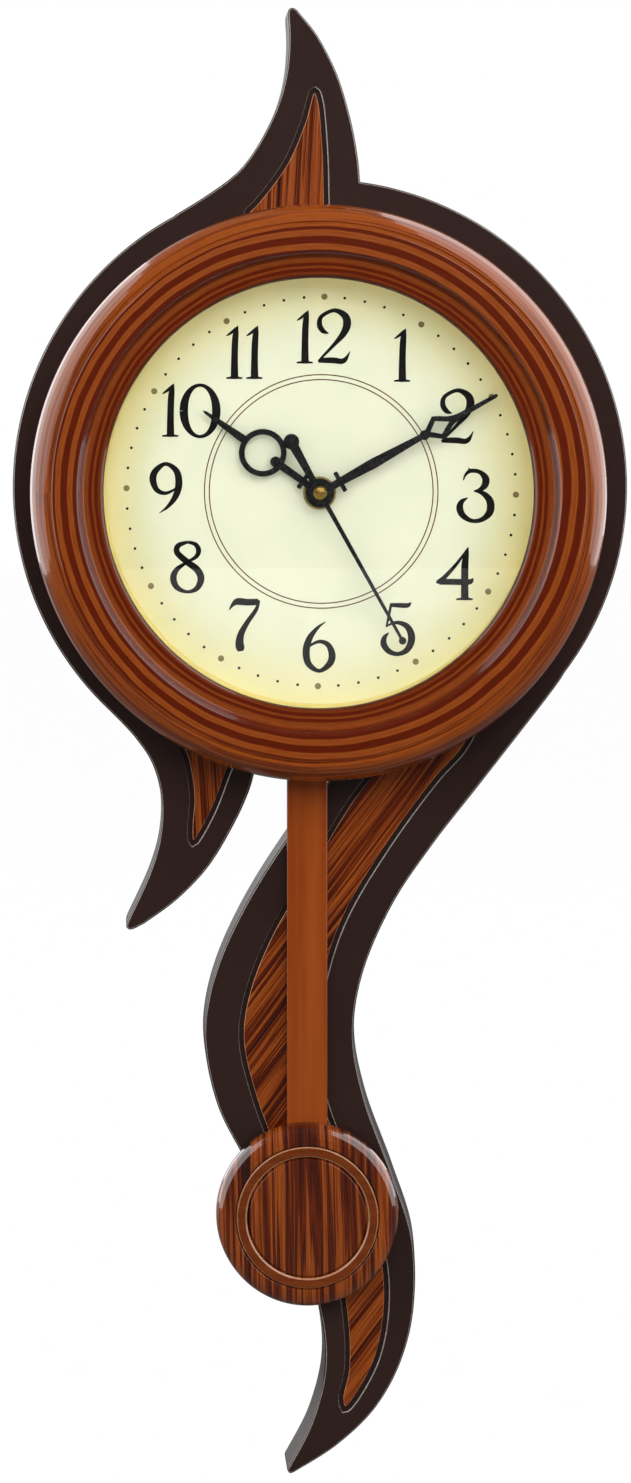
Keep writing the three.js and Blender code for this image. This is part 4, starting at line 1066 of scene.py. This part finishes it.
def bob():
    """A shallow dome of zebra wood with a groove, and a brown bead in the groove, whose top corners carry a
    painted highlight.
    """
    wood = striped_wood("bob_wood", 1.5, place(PENDULUM_X, BOB_Z), 1.6, 0.077, -0.012,
                        Coat_Weight=1.0, Coat_IOR=1.7)
    dome = [(0, 12.9), (6, 12.85), (12, 12.68), (17, 12.42), (21, 12.1), (24.2, 11.75, 0.4), (25, 10.6, 0.2),
            (30, 10.6, 0.2), (30.3, 11.85, 0.4), (33.2, 11.65, 1), (35.6, 10.9, 1.5), (37.2, 9.5, 1.2),
            (38, 7.7, 1), (38.35, 5.8, 0.6), (BOB_R, BOB_BACK), (BOB_R - 2, BOB_BACK), (36, 7), (34, 8.6),
            (0, 8.6)]
    bm = bmesh.new()
    lathe(bm, filleted(dome), PENDULUM_X, BOB_Z)
    for z in BOB_SCREWS:
        lathe(bm, tube(1.3, 3, BOB_BACK, 8.8), PENDULUM_X, z, 32)
    piece_of(make("bob_dome", bm, wood, 40), "pendulum", "bob", "bob_front")

    bead = [(BEAD_IN, BEAD_FOOT), (BEAD_OUT, BEAD_FOOT), (BEAD_OUT, BEAD_TOP - 0.6, 0.1),
            (BEAD_OUT - 0.5, BEAD_TOP, 0.3), (BEAD_IN + 0.7, BEAD_TOP, 0.3), (BEAD_IN, BEAD_TOP - 0.7, 0.1)]
    bm = bmesh.new()
    lathe(bm, filleted(bead), PENDULUM_X, BOB_Z)
    # The bead's top corners get the pale second material, a painted highlight.
    second_material(bm, PENDULUM_X, BOB_Z,
                    lambda r, h: h > BEAD_TOP - 0.7 and not BEAD_IN + 0.6 < r < BEAD_OUT - 0.4)
    piece_of(make("bob_bead", bm, BEAD_WOOD, second=WOOD_EDGE_HIGHLIGHT), "pendulum", "pendulum", "bob_ring")


pendulum_bar()
bob()

# ---------- back ----------
SCREWS = [  # name, places, head's radius, its outer and inner height, shank's radius and end, body
    ("hanger_screw", HANGER_SCREWS, 3.1, -17.6, -16.3, 1.2, -6.5, "case"),
    ("bezel_screw", BEZEL_SCREWS, 3.4, -5, -3.1, 1.2, 10, "case"),
    ("dial_screw", DIAL_SCREWS, 2.6, 3.1, 4.5, 1.0, 13, "case"),
    ("bob_screw", [(PENDULUM_X, z) for z in BOB_SCREWS], 2.4, 0.2, 1.1, 1.1, 7.6, "pendulum")]
SCREW_TURN = math.degrees(0.7)     # by which the cross slots of neighbouring screws differ
CASE_HALF, CASE_TOP, CASE_FOOT, CASE_WALL = 28, 30, -78, 1.2    # the movement's case
BAY, BAY_HALF = -36.5, 7.8  # middle of the battery's bay, and half its height
LID = (-12, -9.85)          # heights of the lid's two faces
GRIP_LINES = (-54, -57.5, -61, -64.5)


def screw(name, x, z, radius, h0, h1, shank, end, body, node):
    """A cross-head screw driven in from the back, its head between heights h0 and h1."""
    high = h1 - h0
    head = filleted([(0, h0), (radius * 0.6, h0, 0.4), (radius, h0 + high * 0.55, 0.4), (radius, h1),
                     (shank, h1), (shank, end - 1), (0, end)])
    whole = turned(name, head, STEEL, x, z, 40)
    slot = rectangle(-radius * 0.62, radius * 0.62, -radius * 0.16, radius * 0.16)
    turn = SCREW_TURN * (1 + sum(map(ord, node)) % 5)
    cross = []
    for quarter in (0, 90):
        outline = [(x + a, z + b) for a, b in swung(slot, turn + quarter)]
        cross.append(plate("slot", outline, [], h0 - 1, h0 + high * 0.6, STEEL))
    combined(whole, cross, "DIFFERENCE")
    piece_of(whole, body, "steel", node)


def screws():
    for name, places, *sizes, body in SCREWS:
        for i, (x, z) in enumerate(places, 1):
            screw(f"{name}_head_{i}", x, z, *sizes, body, f"{name}_{i}")


def hanger():
    keyhole = joined(arc(0, 107, 2, -5, 185, 16), arc(0, 100.5, 4.3, 120, 420, 36))
    outer = rounded_box(-18, 18, 94, 115, 2.5)
    piece_of(plate("hanger_plate_steel", outer, [keyhole] + [circle(x, z, 1.9, 28) for x, z in HANGER_SCREWS],
                   -16.2, -15, STEEL, 0.18), "case", "steel", "hanger_plate")


def room(z0, z1, r):
    """The outline of a hollow across the movement's case."""
    return rounded_box(-CASE_HALF + CASE_WALL, CASE_HALF - CASE_WALL, z0, z1, r)


def movement_case():
    """An open tray with three rooms, the threaded neck and the pendulum lever's pivot."""
    outer = rounded_box(-CASE_HALF, CASE_HALF, CASE_FOOT, CASE_TOP, 2.2)
    gears, cell = room(-27.6, CASE_TOP - CASE_WALL, 1.4), room(BAY - BAY_HALF, BAY + BAY_HALF, 0.8)
    drive = room(CASE_FOOT + CASE_WALL, -45.6, 1.4)
    tray = plate("movement_tray", outer, [], -9.8, 4.5, BLACK_PLASTIC, 0.6)
    tools = [plate("room", r, [], -11, 3.3, BLACK_PLASTIC) for r in (gears, cell, drive)]
    exit_slot = rectangle(PENDULUM_X - 13, PENDULUM_X + 13, CASE_FOOT - 1, CASE_FOOT + 2)
    tools.append(plate("exit_slot", exit_slot, [], 0.2, 3.3, BLACK_PLASTIC))
    combined(tray, tools, "DIFFERENCE")
    combined(tray, [plate("neck", circle(0, 0, 4, 48), [], 4.4, 9.6, BLACK_PLASTIC, 0.2),
                    plate("pivot", circle(PENDULUM_X, -60, 1.1, 28), [], -0.6, 4, BLACK_PLASTIC)], "UNION")
    combined(tray, [plate("bore", circle(0, 0, 2.8, 40), [], -1, 12, BLACK_PLASTIC)], "DIFFERENCE")
    piece_of(tray, "case", "case", "movement_case")

    holes = [room(BAY - BAY_HALF, BAY + BAY_HALF, 1.2), circle(*from_shaft("set_knob"), 1, 24)]
    lid = plate("movement_lid", outer, holes, *LID, BLACK_PLASTIC, 0.5)
    tools = [plate("hollow", r, [], -10.8, -9, BLACK_PLASTIC) for r in (gears, drive)]
    tools += [plate("grip", rounded_box(-18, 18, z - 0.4, z + 0.4, 0.3, 2), [], -13, -11.75, BLACK_PLASTIC)
              for z in GRIP_LINES]
    combined(lid, tools, "DIFFERENCE")
    piece_of(lid, "case", "case", "movement_cover")


def set_knob():
    """A disc with twelve grip notches and a round groove in its face."""
    x, z = from_shaft("set_knob")
    outline = []
    for a in map(math.radians, full_turn(144)):
        r = 7 - 0.42 * max(0, math.cos(12 * a)) ** 2
        outline.append((x + r * math.cos(a), z + r * math.sin(a)))
    knob = plate("set_knob_wheel", outline, [circle(x, z, 0.75, 24)], -15.6, -12.7, PALE_PLASTIC, 0.35)
    groove = plate("groove", circle(x, z, 4.6, 48), [circle(x, z, 2.2, 32)], -16, -15.1, PALE_PLASTIC)
    combined(knob, [groove], "DIFFERENCE")
    piece_of(knob, "setting", "cream", "set_knob")


def battery():
    """A plain AA cell lying along X, its plus end to the right."""
    lo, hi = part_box("battery")
    middle = (lo + hi) / 2
    look = Look("battery_sleeve", Metallic=0.75, Coat_Weight=0.3, Coat_Roughness=0.08)
    along = look.axes(look.coordinates(origin=(lo.x, 0, 0), scale=(1 / (hi.x - lo.x), 1, 1)))[0]
    black, copper = (38, 40, 46), (196, 138, 62)
    sleeve = look.ramp(along, [(0.0, (190, 192, 194)), (0.03, black), (0.66, black), (0.67, copper),
                               (0.955, copper), (0.965, (196, 198, 200))], "CONSTANT")
    fine = look.noise(look.coordinates(), 700, 2)
    dust = look.ramp(fine, [(0.3, (90, 90, 90)), (0.7, (255, 255, 255))])
    look.link(look.mix(0.12, sleeve, dust, "MULTIPLY"), "Base Color")
    look.link(look.range(fine, 0.3, 0.7, 0.22, 0.34), "Roughness")

    r, end = (hi.z - lo.z) / 2 / MM, (hi.x - lo.x) / MM
    profile = filleted([(0, 0), (r - 1.6, 0, 0.3), (r - 1.5, 0.5, 0.2), (r, 0.5, 0.7), (r, end - 1.4, 0.7),
                        (r - 1.2, end - 1.4, 0.3), (r - 1.4, end - 1.7, 0.2), (2.6, end - 1.5, 0.2),
                        (2.6, end, 0.4), (0, end)])

    def at(degrees, r, x):
        a = math.radians(degrees)
        return lo.x + x * MM, middle.y + r * MM * math.cos(a), middle.z + r * MM * math.sin(a)

    bm = bmesh.new()
    spin(bm, profile, full_turn(72), at)
    piece_of(make("battery_cell", bm, look.material), "case", "battery", "battery")


screws()
hanger()
movement_case()
set_knob()
battery()

# ---------- finishes of the CAD nodes that stay ----------
KEPT = [
    (GEAR_PLASTIC, "hour_wheel minute_wheel second_wheel third_wheel setting_wheel fifth_wheel"),
    (PALE_PLASTIC, "dial_plate pendulum_lever"), (BRASS_DULL, "shaft_washer shaft_nut"),
    (FERRITE, "rotor pendulum_magnet"), (STEEL, "stator contact_plus contact_minus"),
    (COPPER, "motor_coil pendulum_coil"), (BOARD_GREEN, "circuit_board"), (BOB_BACKING, "bob_back"),
    (LEAD, "bob_weight")]


def finish(node, material):
    """Gives a CAD node its material, without a change to the node's mesh."""
    if not node.material_slots:
        node.data.materials.append(material)
    for used in node.material_slots:
        used.link = "OBJECT"
        used.material = material


for material, names in KEPT:
    for name in names.split():
        finish(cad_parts[name], material)

# ---------- stage ----------
FLOOR_DROP, FLOOR_SIZE = 0.9, 60.0      # in metres, the drop from the shaft
CAMERA_AWAY, CAMERA_LEFT = 1100, 29.2   # from the board's face, and to the left of the shaft
FRAMED = 627.2                          # height at the board's face that the frame spans
FRAME_MIDDLE = (-1.5, -105.1)
SENSOR = 36
LAMPS = [  # name, azimuth, elevation, distance, width, height, radiance, whether surfaces mirror it
    ("panel_left", -100, 18, 2.4, 10.4, 3.2, 1.45, True),
    ("panel_right", 100, 29, 2.4, 10.4, 4.4, 1.45, True),
    ("key_top", 8, 30.5, 1.6, 1.6, 1.2, 3.8, False),
    ("fill_low", 0, -48, 1.7, 3.0, 1.0, 0.4, False)]


def floor():
    look = Look("pale_floor", Roughness=0.9, Specular_IOR_Level=0.0, Emission_Strength=0.99)
    grain = look.noise(look.coordinates(), 40, 3)
    look.link(look.ramp(grain, [(0.3, (40, 40, 40)), (0.7, (46, 46, 46))]), "Base Color")
    look.link(look.ramp(grain, [(0.3, (253, 253, 253)), (0.7, (255, 255, 255))]), "Emission Color")
    bm = bmesh.new()
    z, half = SHAFT.z - FLOOR_DROP, FLOOR_SIZE / 2
    bm.faces.new([bm.verts.new((x, y, z)) for x, y in rectangle(-half, half, -half, half)])
    plane = make("floor", bm, look.material)
    plane.visible_glossy = plane.visible_diffuse = plane.visible_shadow = False


def studio():
    """White all round for the camera. As light it is soft, dimmer from the camera's side, and brighter from
    behind on the left."""
    world = bpy.data.worlds.new("studio")
    bpy.context.scene.world = world
    world.use_nodes = True
    tree = world.node_tree
    tree.nodes.clear()
    nodes = {name: tree.nodes.new("ShaderNode" + kind) for name, kind in (
        ("out", "OutputWorld"), ("seen", "Background"), ("lit", "Background"), ("pick", "MixShader"),
        ("path", "LightPath"), ("at", "TexCoord"), ("axes", "SeparateXYZ"), ("fall", "MapRange"),
        ("toward", "VectorMath"), ("side", "MapRange"), ("sum", "Math"))}
    for name in ("seen", "lit"):
        nodes[name].inputs["Color"].default_value = (1, 1, 1, 1)
    for name, values in (("fall", (-0.9, 0.1, 0.05, 0.12)), ("side", (0.82, 0.97, 0.0, 0.35))):
        for socket, value in zip(("From Min", "From Max", "To Min", "To Max"), values):
            nodes[name].inputs[socket].default_value = value
    nodes["toward"].operation = "DOT_PRODUCT"
    nodes["toward"].inputs[1].default_value = Vector((-0.5, 0.83, 0.22)).normalized()
    for a, out, b, socket in (
            ("at", "Generated", "axes", 0), ("axes", "Y", "fall", "Value"), ("at", "Generated", "toward", 0),
            ("toward", "Value", "side", "Value"), ("fall", 0, "sum", 0), ("side", 0, "sum", 1),
            ("sum", 0, "lit", "Strength"), ("path", "Is Camera Ray", "pick", 0), ("lit", 0, "pick", 1),
            ("seen", 0, "pick", 2), ("pick", 0, "out", "Surface")):
        tree.links.new(nodes[a].outputs[out], nodes[b].inputs[socket])


def lamp(name, azimuth, elevation, distance, width, height, radiance, mirrored_too):
    """An oval softbox aimed at the dial, in metres. Azimuth is to the right of the camera side."""
    a, e = math.radians(azimuth), math.radians(elevation)
    back = Vector((math.sin(a) * math.cos(e), -math.cos(a) * math.cos(e), math.sin(e)))
    data = bpy.data.lights.new(name, "AREA")
    data.shape, data.size, data.size_y = "ELLIPSE", width, height
    data.energy = radiance * math.pi * width * height * math.pi / 4
    light = bpy.data.objects.new(name, data)
    light.location = place(0, -40) + back * distance
    light.rotation_mode = "QUATERNION"
    light.rotation_quaternion = back.to_track_quat("Z", "Y")
    light.visible_camera = False
    light.visible_glossy = mirrored_too
    bpy.context.scene.collection.objects.link(light)


def camera():
    """Square to the wall, level with the hands, a little to their left. The shift frames the whole clock."""
    data = bpy.data.cameras.new("camera")
    data.sensor_width = SENSOR
    data.lens = SENSOR * CAMERA_AWAY / FRAMED
    data.shift_x = (FRAME_MIDDLE[0] + CAMERA_LEFT) / FRAMED
    data.shift_y = FRAME_MIDDLE[1] / FRAMED
    view = bpy.data.objects.new("camera", data)
    view.location = place(-CAMERA_LEFT, 0, CAMERA_AWAY)
    view.rotation_euler = (math.pi / 2, 0, 0)
    bpy.context.scene.collection.objects.link(view)
    bpy.context.scene.camera = view


floor()
studio()
for settings in LAMPS:
    lamp(*settings)
camera()
bpy.context.scene.view_settings.view_transform = "Standard"
